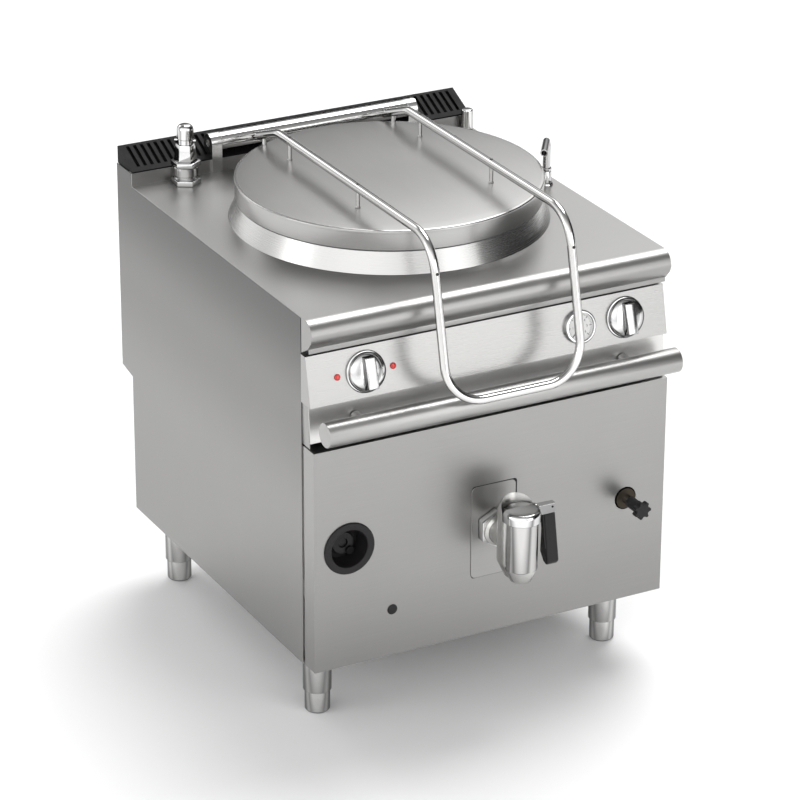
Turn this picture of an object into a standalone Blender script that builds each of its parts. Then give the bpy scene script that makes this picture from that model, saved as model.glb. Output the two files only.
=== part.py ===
"""Free-standing electric boiling kettle, 900 mm deep catering module.

A round vessel in a steam jacket hangs in a stainless steel cabinet. A sprung lid
with a bent tube handle is hinged behind it, a draw-off tap stands out of the front
panel, and the controls sit on a tilted panel under the worktop's rounded front.

Lengths are in metres. In the module frame x = 0 is the middle, y = 0 is the front
line of the flat worktop, with +Y to the rear, and z = 0 is the floor. The empty
kettle_datum shifts the whole model so that the origin lies under its middle.
"""

import math

import bmesh
import bpy
from mathutils import Matrix, Vector

# General clearances and sheet metal
GAP = 0.0003
SHEET = 0.002

# Facets of the round pieces
ROUND_STEPS = 36
JACKET_STEPS = 24
SMALL_STEPS = 20
FINE_STEPS = 16

# Kettle: vessel, collar, jacket. The margins round its collar give the cabinet's plan
VESSEL_RADIUS = 0.300
VESSEL_WALL = 0.0025
VESSEL_DEPTH = 0.420
VESSEL_CORNER = 0.090
RIM_WIDTH = 0.009
COLLAR_SPREAD = 0.0184
COLLAR_HEIGHT = 0.0419
COLLAR_HEM = 0.006
OPENING_CLEARANCE = 0.012
SIDE_MARGIN = 0.0726
FRONT_MARGIN = 0.0836
REAR_MARGIN = 0.0556
JACKET_SPACE = 0.036
JACKET_TOP_DROP = 0.030
JACKET_FLOOR_GAP = 0.075
JACKET_CORNER = 0.060
HEATER_INSET = 0.110
HEATER_ROD = 0.006
HEATER_SPREAD = 0.024
HEATER_FLANGE_RADIUS = 0.036
STRAINER_RADIUS = 0.040
STRAINER_HOLE = 0.0035
STRAINER_RISE = 0.012
COLLAR_TOP_RADIUS = VESSEL_RADIUS + RIM_WIDTH
COLLAR_BASE_RADIUS = COLLAR_TOP_RADIUS + COLLAR_SPREAD
JACKET_RADIUS = VESSEL_RADIUS + JACKET_SPACE
HEATER_RADIUS = VESSEL_RADIUS - HEATER_INSET
KETTLE_Y = COLLAR_BASE_RADIUS + FRONT_MARGIN

# Heights, from the cabinet's floor up through the tap and the jacket to the rim
CABINET_FLOOR = 0.1507
TAP_AXIS_RISE = 0.2373
PIPE_DROP = 0.0567
TAP_AXIS_Z = CABINET_FLOOR + TAP_AXIS_RISE
JACKET_FLOOR_Z = TAP_AXIS_Z + PIPE_DROP
VESSEL_FLOOR_Z = JACKET_FLOOR_Z + JACKET_FLOOR_GAP + VESSEL_WALL
RIM_Z = VESSEL_FLOOR_Z + VESSEL_DEPTH
WORKTOP_HEIGHT = RIM_Z - VESSEL_WALL - GAP - COLLAR_HEIGHT

# Cabinet
GRILLE_DEPTH = 0.0749
OVERHANG = 0.0516
NOTCH_DROP = 0.4285
NOTCH_SLOPE = 0.010
SIDE_FRONT = 0.0158
FLANGE = 0.022
PAN_RIM = 0.030
WIDTH = 2 * (COLLAR_BASE_RADIUS + SIDE_MARGIN)
HALF_INNER = 0.5 * WIDTH - SHEET - GAP
UPSTAND_FRONT = KETTLE_Y + COLLAR_BASE_RADIUS + REAR_MARGIN
OVERHANG_REAR = UPSTAND_FRONT + GRILLE_DEPTH
LOWER_REAR = OVERHANG_REAR - OVERHANG
NOTCH_HIGH = WORKTOP_HEIGHT - NOTCH_DROP
NOTCH_LOW = NOTCH_HIGH - NOTCH_SLOPE

# Worktop, its rounded nose and the upstand behind it
NOSE_REACH = 0.032
NOSE_HEIGHT = 0.073
NOSE_UNDERSIDE_REACH = 0.013
NOSE_TOP_RADIUS = 0.030
NOSE_LIP_INSET = 0.0045
NOSE_LIP_DROP = 0.042
NOSE_CHIN_INSET = 0.019
NOSE_CHIN_DROP = 0.0585
UPSTAND_HEIGHT = 0.0279
UPSTAND_LIP = 0.016

# Vent grilles over the flue
GRILLE_RISE = 0.0369
GRILLE_FRONT_EDGE = 0.003
GRILLE_WALL = 0.003
GRILLE_END_INSET = 0.0026
GRILLE_SLOT_PITCH = 0.0155
GRILLE_SLOT_WIDTH = 0.0075
GRILLE_SLOT_MARGIN = 0.012

# Tilted control panel and the strip below it
PANEL_GAP = 0.0042
PANEL_LENGTH = 0.1027
PANEL_TILT = math.radians(12.2)
PANEL_FOOT_Y = -0.0240
FASCIA_TILT = math.radians(6.2)
FASCIA_SETBACK = 0.0118
FASCIA_LENGTH = 0.0756
PANEL_HEAD_Z = WORKTOP_HEIGHT - NOSE_HEIGHT - PANEL_GAP
PANEL_FOOT_Z = PANEL_HEAD_Z - math.cos(PANEL_TILT) * PANEL_LENGTH
FASCIA_TOP_Z = PANEL_FOOT_Z - GAP
FASCIA_TOP_Y = PANEL_FOOT_Y + FASCIA_SETBACK
FASCIA_FOOT_Z = FASCIA_TOP_Z - math.cos(FASCIA_TILT) * FASCIA_LENGTH

# Front panel
FRONT_FACE = -0.0339
FRONT_SIDE_GAP = 0.0015
FRONT_FLOOR_GAP = 0.0008
FRONT_TOP_GAP = 0.0158
FRONT_SEAM = 0.0067
FRONT_HOOK_RISE = 0.1485
FRONT_HOOK_HEIGHT = 0.040
FRONT_HOOK_INSET = 0.0005
FRONT_HALF_WIDTH = 0.5 * WIDTH - FRONT_SIDE_GAP
FRONT_BOTTOM = CABINET_FLOOR + FRONT_FLOOR_GAP
FRONT_TOP = FASCIA_FOOT_Z - FRONT_TOP_GAP
FRONT_REAR = SIDE_FRONT - FRONT_SEAM

# Handle rail
RAIL_RADIUS = 0.025
RAIL_REACH = 0.0388
RAIL_DROP = 0.0367
RAIL_END_INSET = 0.0058
RAIL_CHAMFER = 0.0015
RAIL_POST_RADIUS = 0.011
RAIL_POST_INSET = 0.100
RAIL_POST_ROOT = 0.012
RAIL_SEAT = 0.0025
RAIL_Y = FRONT_FACE - RAIL_REACH
RAIL_Z = PANEL_FOOT_Z - RAIL_DROP
RAIL_POST_X = 0.5 * WIDTH - RAIL_POST_INSET

# Lid
LID_OVERLAP = 0.001
LID_BEAD = 0.005
LID_EDGE_INSET = 0.0015
LID_HEIGHT = 0.0427
LID_RISE = 0.008
LID_SHEET = 0.002
SEAL_WIDTH = 0.016
SEAL_HEIGHT = 0.0045
LID_RADIUS = COLLAR_TOP_RADIUS + LID_OVERLAP
LID_BEAD_RADIUS = LID_RADIUS + LID_BEAD
LID_EDGE_RADIUS = LID_RADIUS - LID_EDGE_INSET
LID_FOOT_Z = RIM_Z + 2 * GAP
LID_TOP_Z = LID_FOOT_Z + LID_HEIGHT

# Bent tube handle of the lid
FRAME_TUBE = 0.009
FRAME_HALF_SPREAD = 0.1505
FRAME_CLEARANCE = 0.0465
FRAME_REAR_RUN = 0.196
FRAME_REAR_RADIUS = 0.070
FRAME_FRONT_REACH = 0.0144
FRAME_FRONT_RADIUS = 0.082
FRAME_LEG_SLOPE = math.radians(12.6)
FRAME_RAIL_CLEARANCE = 0.0278
FRAME_CORNER_RADIUS = 0.080
TONGUE_LENGTH = 0.120
TONGUE_HALF_WIDTH = 0.0135
TONGUE_HALF_THICKNESS = 0.0035
STUD_RADIUS = 0.004
STUD_FRONT_RUN = 0.152
STUD_REAR_RUN = 0.149
REST_STUB_INSET = 0.0023
REST_STUB_RADIUS = 0.005
FRAME_HEIGHT = LID_TOP_Z + FRAME_CLEARANCE
FRAME_BOTTOM_Z = RAIL_Z + FRAME_RAIL_CLEARANCE
FRAME_FRONT_BEND_Y = -NOSE_REACH - FRAME_FRONT_REACH
STUD_YS = (KETTLE_Y - STUD_FRONT_RUN, KETTLE_Y + STUD_REAR_RUN)
REST_STUB_Y = KETTLE_Y + math.sqrt(LID_EDGE_RADIUS ** 2 - FRAME_HALF_SPREAD ** 2) - REST_STUB_INSET

# Hinge behind the lid
HINGE_SETBACK = 0.014
HINGE_DROP = 0.0275
HINGE_RADIUS = 0.020
HINGE_LEFT_MARGIN = 0.0445
HINGE_RIGHT_MARGIN = 0.0955
HINGE_PIN_RADIUS = 0.008
HINGE_PIN_LENGTH = 0.014
STRAP_WIDTH = 0.023
STRAP_RADIUS = 0.0205
HINGE_Y = UPSTAND_FRONT + HINGE_SETBACK
HINGE_Z = LID_TOP_Z - HINGE_DROP
HINGE_LEFT = -FRAME_HALF_SPREAD - HINGE_LEFT_MARGIN
HINGE_RIGHT = FRAME_HALF_SPREAD + HINGE_RIGHT_MARGIN
FRAME_REAR_BEND_Y = HINGE_Y - FRAME_REAR_RUN

# Draw-off tap: a hood on a short neck, a barrel in front of it and the barrel's cap
TAP_PLATE_WIDTH = 0.100
TAP_PLATE_HEIGHT = 0.200
TAP_PLATE_THICKNESS = 0.0015
TAP_PLATE_CORNER = 0.010
TAP_PLATE_DROP = 0.008
TAP_REACH = 0.0926
TAP_RADIUS = 0.038
TAP_DOME_RISE = 0.070
TAP_SKIRT_DROP = 0.033
TAP_OUTLET_DROP = 0.070
TAP_HOOD_FOOT = 0.002
TAP_STEP = 0.021
TAP_BARREL_RADIUS = 0.033
TAP_BARREL_CONE = 0.027
TAP_OUTLET_RADIUS = 0.021
TAP_BORE = 0.015
TAP_BORE_DEPTH = 0.052
TAP_CAP_RADIUS = 0.0385
TAP_CAP_DROP = 0.010
TAP_CAP_HEIGHT = 0.022
TAP_CAP_EDGE = 0.004
TAP_NUT_FLATS = 0.070
TAP_NUT_LENGTH = 0.020
TAP_NECK_RADIUS = 0.027
LEVER_SET = 0.0045
LEVER_CHEEK = 0.002
LEVER_HALF_HEIGHT = 0.010
LEVER_THICKNESS = 0.006
LEVER_REACH = 0.078
LEVER_PIN_RADIUS = 0.009
TANG_THICKNESS = 0.003
TANG_LENGTH = 0.070
GRIP_WIDTH = 0.0265
GRIP_LENGTH = 0.107
GRIP_TOP_DEPTH = 0.010
GRIP_FOOT_DEPTH = 0.034
GRIP_LEAN = math.radians(10.5)
PIPE_RADIUS = 0.024
PIPE_WALL = 0.002
TAP_PLATE_Z = TAP_AXIS_Z - TAP_PLATE_DROP
TAP_Y = FRONT_FACE - TAP_REACH
BARREL_Y = TAP_Y - TAP_STEP
TAP_FRONT = BARREL_Y - TAP_CAP_RADIUS
TAP_DOME_Z = TAP_AXIS_Z + TAP_DOME_RISE
TAP_SKIRT_Z = TAP_AXIS_Z - TAP_SKIRT_DROP
TAP_OUTLET_Z = TAP_AXIS_Z - TAP_OUTLET_DROP
TAP_CAP_Z = TAP_DOME_Z - TAP_CAP_DROP

# Level cock with the star wheel
COCK_INSET = 0.092
COCK_DROP = 0.009
COCK_HOLE_RADIUS = 0.024
COCK_HUB_RADIUS = 0.012
COCK_HUB_REACH = 0.056
COCK_PIPE_RADIUS = 0.009
COCK_PIPE_INSET = 0.005
COCK_PIPE_RUN = 0.100
STAR_RADIUS = 0.0195
STAR_ROOT_RADIUS = 0.0145
STAR_POINTS = 7
STAR_THICKNESS = 0.014
COCK_X = 0.5 * WIDTH - COCK_INSET
COCK_Z = TAP_AXIS_Z - COCK_DROP
COCK_PIPE_X = JACKET_RADIUS - JACKET_CORNER - COCK_PIPE_INSET

# Recessed reset button and the sight hole
CUP_INSET = 0.078
CUP_RISE = 0.022
CUP_RADIUS = 0.055
CUP_MOUTH_RADIUS = 0.0395
CUP_DEPTH = 0.042
CUP_FLANGE = 0.004
CUP_RING_RADIUS = 0.024
CUP_RING_HEIGHT = 0.016
RESET_RADIUS = 0.010
RESET_SINK = 0.004
PLUG_INSET = 0.1737
PLUG_RISE = 0.1028
PLUG_RADIUS = 0.011
CUP_X = CUP_INSET - 0.5 * WIDTH
CUP_Z = TAP_AXIS_Z + CUP_RISE
PLUG_X = PLUG_INSET - 0.5 * WIDTH
PLUG_Z = CABINET_FLOOR + PLUG_RISE

# Controls on the tilted panel
KNOB_DROP = 0.0515
KNOB_LEFT_INSET = 0.125
KNOB_RIGHT_INSET = 0.094
BEZEL_RADIUS = 0.0425
BEZEL_HEIGHT = 0.004
KNOB_RADIUS = 0.034
KNOB_SKIRT = 0.012
KNOB_GRIP_WIDTH = 0.020
KNOB_GRIP_LENGTH = 0.058
KNOB_GRIP_HEIGHT = 0.029
SPINDLE_RADIUS = 0.004
SPINDLE_DEPTH = 0.014
SWITCH_SIZE = 0.044
SWITCH_DEPTH = 0.034
LAMP_INSETS = (0.0635, 0.1843)
LAMP_RADIUS = 0.0065
LAMP_HEIGHT = 0.0035
GAUGE_INSET = 0.1992
GAUGE_RADIUS = 0.0345
GAUGE_HEIGHT = 0.010
GAUGE_DEPTH = 0.030
GAUGE_RIM = 0.005
DIAL_HEIGHT = 0.0035
NEEDLE_REST = math.radians(135.0)
KNOB_LEFT_X = KNOB_LEFT_INSET - 0.5 * WIDTH
KNOB_RIGHT_X = 0.5 * WIDTH - KNOB_RIGHT_INSET
LAMP_XS = [inset - 0.5 * WIDTH for inset in LAMP_INSETS]
GAUGE_X = 0.5 * WIDTH - GAUGE_INSET

# Safety valve on the worktop
VALVE_INSET = 0.110
VALVE_SETBACK = 0.030
VALVE_FLATS = 0.055
VALVE_FLANGE = 0.011
VALVE_BODY_RADIUS = 0.0255
VALVE_BODY_HEIGHT = 0.040
VALVE_TOP_FLANGE = 0.010
VALVE_STEM_DEPTH = 0.040
VALVE_BONNET_LOW = 0.0436
VALVE_BONNET_HIGH = 0.034
VALVE_BONNET_HEIGHT = 0.036
VALVE_CAP_RADIUS = 0.018
VALVE_CAP_HEIGHT = 0.042
VALVE_PIN_LENGTH = 0.046
VALVE_PIN_RADIUS = 0.0028
VALVE_PIN_RISE = 0.007
VALVE_PIN_TURN = math.radians(-37.0)
VALVE_X = VALVE_INSET - 0.5 * WIDTH
VALVE_Y = UPSTAND_FRONT - VALVE_SETBACK

# Water spout
SPOUT_INSET = 0.032
SPOUT_BASE_RADIUS = 0.0105
SPOUT_BASE_HEIGHT = 0.038
SPOUT_BASE_ROOT = 0.026
SPOUT_RADIUS = 0.008
SPOUT_WALL = 0.0025
SPOUT_LID_CLEARANCE = 0.0055
SPOUT_REACH = 0.088
SPOUT_BEND = 0.022
SPOUT_TURN = math.radians(-56.0)
SPOUT_X = 0.5 * WIDTH - SPOUT_INSET
SPOUT_BORE = SPOUT_RADIUS - SPOUT_WALL
SPOUT_ARM_Z = LID_TOP_Z + SPOUT_LID_CLEARANCE + SPOUT_RADIUS

# Corner post at the right rear
POST_INSET = 0.017
POST_SETBACK = 0.017
POST_RADIUS = 0.0125
POST_HEIGHT = 0.047
POST_EDGE = 0.003
POST_X = 0.5 * WIDTH - POST_INSET
POST_Y = UPSTAND_FRONT - POST_SETBACK

# Levelling feet
FOOT_INSET = 0.0662
FOOT_FRONT_Y = 0.0848
FOOT_REAR_INSET = 0.0719
SLEEVE_RADIUS = 0.02925
FOOT_RADIUS = 0.026
FOOT_HEIGHT = 0.047
FOOT_STEM_RADIUS = 0.012
FOOT_STEM_LENGTH = 0.060
FOOT_TREAD = 0.005
FOOT_X = 0.5 * WIDTH - FOOT_INSET
FOOT_REAR_Y = LOWER_REAR - FOOT_REAR_INSET

PLAN_MID = 0.5 * (OVERHANG_REAR + TAP_FRONT)

for old in list(bpy.data.objects):
    bpy.data.objects.remove(old)


# Materials

def finish(name, colour, roughness, metallic):
    """A Principled material with the colour, roughness and metal of the piece."""
    made = bpy.data.materials.new(name)
    made.use_nodes = True
    shader = made.node_tree.nodes["Principled BSDF"]
    shader.inputs["Base Color"].default_value = (*colour, 1.0)
    shader.inputs["Roughness"].default_value = roughness
    shader.inputs["Metallic"].default_value = metallic
    made.diffuse_color = (*colour, 1.0)
    return made


STEEL = ((0.62, 0.61, 0.59), 0.36, 1.0)
BRIGHT = ((0.80, 0.80, 0.79), 0.12, 1.0)
BLACK = ((0.02, 0.02, 0.02), 0.55, 0.0)
RUBBER = ((0.10, 0.10, 0.11), 0.75, 0.0)
RED = ((0.75, 0.03, 0.02), 0.25, 0.0)
WHITE = ((0.85, 0.85, 0.83), 0.45, 0.0)
BRASS = ((0.78, 0.62, 0.32), 0.32, 1.0)


# Placing

def empty(name, at, turn=(0.0, 0.0, 0.0), parent=None):
    """An empty that carries other pieces."""
    made = bpy.data.objects.new(name, None)
    bpy.context.collection.objects.link(made)
    made.location = at
    made.rotation_euler = turn
    made.parent = parent
    return made


DATUM = empty("kettle_datum", (0.0, -PLAN_MID, 0.0))
FACING_FRONT = (math.pi / 2, 0.0, 0.0)


def place(name, shape, look, at=(0.0, 0.0, 0.0), turn=(0.0, 0.0, 0.0), parent=DATUM):
    """One named piece from a finished bmesh, with its own material."""
    bmesh.ops.remove_doubles(shape, verts=shape.verts, dist=1e-6)
    bmesh.ops.recalc_face_normals(shape, faces=shape.faces)
    mesh = bpy.data.meshes.new(name)
    shape.to_mesh(mesh)
    shape.free()
    mesh.shade_smooth()
    mesh.set_sharp_from_angle(angle=math.radians(35.0))
    made = bpy.data.objects.new(name, mesh)
    bpy.context.collection.objects.link(made)
    made.location = at
    made.rotation_euler = turn
    made.parent = parent
    if look:
        mesh.materials.append(finish(name + "_finish", *look))
    return made


def combine(target, tool, operation):
    """A Boolean modifier whose tool is left out of the model."""
    tool.hide_render = True
    tool.display_type = "WIRE"
    step = target.modifiers.new(tool.name, "BOOLEAN")
    step.object = tool
    step.operation = operation
    return target


def cut(target, name, shape, at=(0.0, 0.0, 0.0), turn=(0.0, 0.0, 0.0), parent=DATUM):
    return combine(target, place(name, shape, None, at, turn, parent), "DIFFERENCE")


def join(target, name, shape, at=(0.0, 0.0, 0.0), turn=(0.0, 0.0, 0.0), parent=DATUM):
    return combine(target, place(name, shape, None, at, turn, parent), "UNION")


# Shapes

def prism(outline, start, end, axis="X"):
    """An outline extruded along an axis. It lies in YZ, XZ or XY."""
    to_space = {
        "X": lambda a, b: (start, a, b),
        "Y": lambda a, b: (a, start, b),
        "Z": lambda a, b: (a, b, start),
    }[axis]
    shape = bmesh.new()
    face = shape.faces.new([shape.verts.new(to_space(a, b)) for a, b in outline])
    pushed = bmesh.ops.extrude_face_region(shape, geom=[face])["geom"]
    shift = Vector([(end - start) * (letter == axis) for letter in "XYZ"])
    moved = [part for part in pushed if isinstance(part, bmesh.types.BMVert)]
    bmesh.ops.translate(shape, verts=moved, vec=shift)
    return shape


def block(low, high):
    """A box between two corners."""
    corners = [(low[0], low[1]), (high[0], low[1]), (high[0], high[1]), (low[0], high[1])]
    return prism(corners, low[2], high[2], "Z")


def turned(profile, steps=ROUND_STEPS):
    """A closed profile of (radius, height) points spun about Z."""
    shape = bmesh.new()
    points = [shape.verts.new((radius, 0.0, height)) for radius, height in profile]
    edges = [shape.edges.new(pair) for pair in zip(points, points[1:])]
    if profile[0][0] > 0.0 or profile[-1][0] > 0.0:
        edges.append(shape.edges.new((points[-1], points[0])))
    bmesh.ops.spin(
        shape,
        geom=points + edges,
        cent=(0.0, 0.0, 0.0),
        axis=(0.0, 0.0, 1.0),
        angle=2 * math.pi,
        steps=steps,
        use_merge=True,
        use_duplicate=False,
    )
    return shape


def disc(radius, low, high, steps=ROUND_STEPS):
    """A plain round piece about Z."""
    return turned([(0.0, high), (radius, high), (radius, low), (0.0, low)], steps)


def cleared(radius, steps):
    """The corner radius of a faceted hole whose flats clear a round piece."""
    return (radius + GAP) / math.cos(math.pi / steps)


def bore(radius, low, high, steps=FINE_STEPS):
    """A cutter about Z for a hole round a piece of this radius."""
    return disc(cleared(radius, steps), low, high, steps)


def ring(outer, inner, low, high, steps=ROUND_STEPS):
    """A flat ring about Z."""
    return turned([(inner, high), (outer, high), (outer, low), (inner, low)], steps)


def arc(centre, radius, start, end, steps):
    """Points on an arc, its angles in radians."""
    return [
        (
            centre[0] + radius * math.cos(start + (end - start) * i / steps),
            centre[1] + radius * math.sin(start + (end - start) * i / steps),
        )
        for i in range(steps + 1)
    ]


def rounded_rectangle(half_width, half_height, radius, steps=4):
    """The outline of a rectangle with rounded corners, about its middle."""
    outline = []
    for quarter, (side, level) in enumerate(((1, 1), (-1, 1), (-1, -1), (1, -1))):
        centre = (side * (half_width - radius), level * (half_height - radius))
        begin = quarter * math.pi / 2
        outline += arc(centre, radius, begin, begin + math.pi / 2, steps)
    return outline


def hexagon(flats):
    """The corners of a hexagon, from its width across the flats."""
    corner = flats / math.sqrt(3.0)
    return [
        (corner * math.cos(math.pi / 3 * i), corner * math.sin(math.pi / 3 * i))
        for i in range(6)
    ]


def offset_path(path, distance):
    """A path moved sideways to its left by a distance, with mitred corners."""
    normals = []
    for (a, b), (c, d) in zip(path, path[1:]):
        length = math.hypot(c - a, d - b)
        normals.append(((b - d) / length, (c - a) / length))
    normals = [normals[0]] + normals + [normals[-1]]
    moved = []
    for (a, b), (nx, ny), (mx, my) in zip(path, normals, normals[1:]):
        stretch = distance / (1.0 + nx * mx + ny * my)
        moved.append((a + (nx + mx) * stretch, b + (ny + my) * stretch))
    return moved


def folded(path, half_width, thickness=SHEET):
    """A sheet folded along a path of (y, z) points, of one width along X."""
    return prism(path + offset_path(path, thickness)[::-1], -half_width, half_width, "X")


def gathered(shapes):
    """Several shapes, each moved to its spot, as one tool for a Boolean."""
    whole = bmesh.new()
    for shape, spot in shapes:
        bmesh.ops.translate(shape, verts=shape.verts, vec=spot)
        loose = bpy.data.meshes.new("loose")
        shape.to_mesh(loose)
        shape.free()
        whole.from_mesh(loose)
        bpy.data.meshes.remove(loose)
    return whole


def rounded_path(corners, radii, step=math.radians(13.0)):
    """A path through corners, each one rounded to its radius."""
    points = [Vector(corners[0])]
    for before, corner, after, radius in zip(corners, corners[1:], corners[2:], radii):
        corner = Vector(corner)
        back = (Vector(before) - corner).normalized()
        ahead = (Vector(after) - corner).normalized()
        half = 0.5 * back.angle(ahead)
        centre = corner + (back + ahead).normalized() * (radius / math.sin(half))
        start = corner + back * (radius / math.tan(half)) - centre
        normal = ahead.cross(back).normalized()
        turn = math.pi - 2 * half
        count = max(2, round(turn / step))
        for i in range(count + 1):
            points.append(centre + Matrix.Rotation(turn * i / count, 3, normal) @ start)
    return points + [Vector(corners[-1])]


def swept(points, half_sizes, side, sides=10):
    """A closed bar along points: its oval has half_sizes (across, through) at each."""
    shape = bmesh.new()
    rings = []
    side = Vector(side)
    for i, (point, (across, through)) in enumerate(zip(points, half_sizes)):
        ahead = points[min(i + 1, len(points) - 1)] - points[i]
        behind = points[i] - points[max(i - 1, 0)]
        along = (ahead.normalized() + behind.normalized()).normalized()
        side = (side - along * side.dot(along)).normalized()
        other = along.cross(side)
        rings.append([
            shape.verts.new(
                point
                + side * (across * math.cos(2 * math.pi * k / sides))
                + other * (through * math.sin(2 * math.pi * k / sides))
            )
            for k in range(sides)
        ])
    for near, far in zip(rings, rings[1:]):
        for k in range(sides):
            shape.faces.new((near[k], near[k - 1], far[k - 1], far[k]))
    shape.faces.new(rings[0])
    shape.faces.new(rings[-1][::-1])
    return shape


def bar(points, radius, side=(1.0, 0.0, 0.0), sides=10):
    """A round bar or tube's outside along points."""
    points = [Vector(point) for point in points]
    return swept(points, [(radius, radius)] * len(points), side, sides)


# Cabinet

def base_pan():
    front = SIDE_FRONT + SHEET + 2 * GAP
    rear = LOWER_REAR - SHEET - 2 * GAP
    top = CABINET_FLOOR + PAN_RIM
    path = [(front, top), (front, CABINET_FLOOR), (rear, CABINET_FLOOR), (rear, top)]
    place("base_pan", folded(path, HALF_INNER), STEEL)


def side_panel(name, hand):
    """A notched sheet with an inward flange down its front edge."""
    top = WORKTOP_HEIGHT - SHEET - GAP
    outline = [
        (SIDE_FRONT, CABINET_FLOOR),
        (LOWER_REAR, CABINET_FLOOR),
        (LOWER_REAR, NOTCH_LOW),
        (OVERHANG_REAR, NOTCH_HIGH),
        (OVERHANG_REAR, WORKTOP_HEIGHT + UPSTAND_HEIGHT),
        (UPSTAND_FRONT + SHEET + GAP, WORKTOP_HEIGHT + UPSTAND_HEIGHT),
        (UPSTAND_FRONT + SHEET + GAP, top),
        (SIDE_FRONT, top),
    ]
    outer = hand * 0.5 * WIDTH
    panel = place(name, prism(outline, outer, outer - hand * SHEET, "X"), STEEL)
    flange = block(
        (min(outer, outer - hand * FLANGE), SIDE_FRONT, CABINET_FLOOR + PAN_RIM + GAP),
        (max(outer, outer - hand * FLANGE), SIDE_FRONT + SHEET, top),
    )
    join(panel, name + "_flange", flange)


def rear_panel():
    """One sheet folded round the notch, closed under the grilles."""
    low = CABINET_FLOOR + SHEET + GAP
    high = WORKTOP_HEIGHT + UPSTAND_HEIGHT
    path = [
        (LOWER_REAR, low),
        (LOWER_REAR, NOTCH_LOW),
        (OVERHANG_REAR, NOTCH_HIGH),
        (OVERHANG_REAR, high - SHEET),
        (OVERHANG_REAR - UPSTAND_LIP, high - SHEET),
    ]
    place("rear_panel", folded(path, HALF_INNER), STEEL)


def nose_outline():
    """The rounded front edge, from the worktop's front line to its underside."""
    top = arc(
        (NOSE_TOP_RADIUS - NOSE_REACH, WORKTOP_HEIGHT - NOSE_TOP_RADIUS),
        NOSE_TOP_RADIUS,
        math.pi / 2,
        math.pi,
        6,
    )
    lip = (NOSE_LIP_INSET - NOSE_REACH, WORKTOP_HEIGHT - NOSE_LIP_DROP)
    chin = (NOSE_CHIN_INSET - NOSE_REACH, WORKTOP_HEIGHT - NOSE_CHIN_DROP)
    return top + [lip, chin, (NOSE_UNDERSIDE_REACH, WORKTOP_HEIGHT - NOSE_HEIGHT)]


def worktop():
    """A pressed top with a solid nose, a round opening and the rear upstand."""
    under = WORKTOP_HEIGHT - SHEET
    upstand_top = WORKTOP_HEIGHT + UPSTAND_HEIGHT
    back = UPSTAND_FRONT + SHEET
    outline = nose_outline() + [
        (NOSE_UNDERSIDE_REACH, under),
        (back, under),
        (back, upstand_top - SHEET),
        (back + UPSTAND_LIP, upstand_top - SHEET),
        (back + UPSTAND_LIP, upstand_top),
        (UPSTAND_FRONT, upstand_top),
        (UPSTAND_FRONT, WORKTOP_HEIGHT),
    ]
    top = place("worktop", prism(outline, -0.5 * WIDTH, 0.5 * WIDTH, "X"), STEEL)
    for hand, side in ((-1, "left"), (1, "right")):
        xs = sorted((hand * HALF_INNER, hand * WIDTH))
        low = (xs[0], back, under - SHEET)
        high = (xs[1], back + 2 * UPSTAND_LIP, upstand_top + SHEET)
        cut(top, "upstand_end_" + side, block(low, high))
    opening = disc(VESSEL_RADIUS + VESSEL_WALL + OPENING_CLEARANCE, -0.02, 0.02)
    cut(top, "kettle_opening", opening, (0.0, KETTLE_Y, WORKTOP_HEIGHT))
    valve_hole = bore(VALVE_BODY_RADIUS * 0.5, -0.02, 0.02)
    cut(top, "valve_hole", valve_hole, (VALVE_X, VALVE_Y, WORKTOP_HEIGHT))
    spout_hole = bore(SPOUT_RADIUS, -0.02, 0.02)
    cut(top, "spout_hole", spout_hole, (SPOUT_X, KETTLE_Y, WORKTOP_HEIGHT))
    return top


def vent_grille(name, hand):
    """A sloping cap, open below, with slots from front to rear."""
    low = WORKTOP_HEIGHT + UPSTAND_HEIGHT + GAP
    high = low + GRILLE_RISE
    lip = low + GRILLE_FRONT_EDGE
    near = hand * GAP
    far = hand * (0.5 * WIDTH - GRILLE_END_INSET)
    outline = [
        (UPSTAND_FRONT, low),
        (OVERHANG_REAR, low),
        (OVERHANG_REAR, high),
        (UPSTAND_FRONT, lip),
    ]
    cap = place(name, prism(outline, near, far, "X"), BLACK)
    slope = (high - lip) / (OVERHANG_REAR - UPSTAND_FRONT)
    front = UPSTAND_FRONT + 3 * GRILLE_WALL
    rear = OVERHANG_REAR - GRILLE_WALL
    hollow = [
        (front, low - 0.01),
        (rear, low - 0.01),
        (rear, lip + slope * (rear - UPSTAND_FRONT) - GRILLE_WALL),
        (front, lip + slope * (front - UPSTAND_FRONT) - GRILLE_WALL),
    ]
    inside = prism(hollow, near + hand * GRILLE_WALL, far - hand * GRILLE_WALL, "X")
    cut(cap, name + "_hollow", inside)
    slots = bmesh.new()
    usable = 0.5 * WIDTH - GRILLE_END_INSET - 2 * GRILLE_SLOT_MARGIN
    count = int(usable / GRILLE_SLOT_PITCH)
    for i in range(count):
        middle = hand * (GRILLE_SLOT_MARGIN + (i + 0.5) * usable / count)
        size = (GRILLE_SLOT_WIDTH, rear - front - 2 * GRILLE_WALL, 0.1)
        spot = Matrix.Translation((middle, 0.5 * (front + rear), low + 0.055))
        bmesh.ops.create_cube(slots, size=1.0, matrix=spot @ Matrix.Diagonal((*size, 1.0)))
    cut(cap, name + "_slots", slots)


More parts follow.
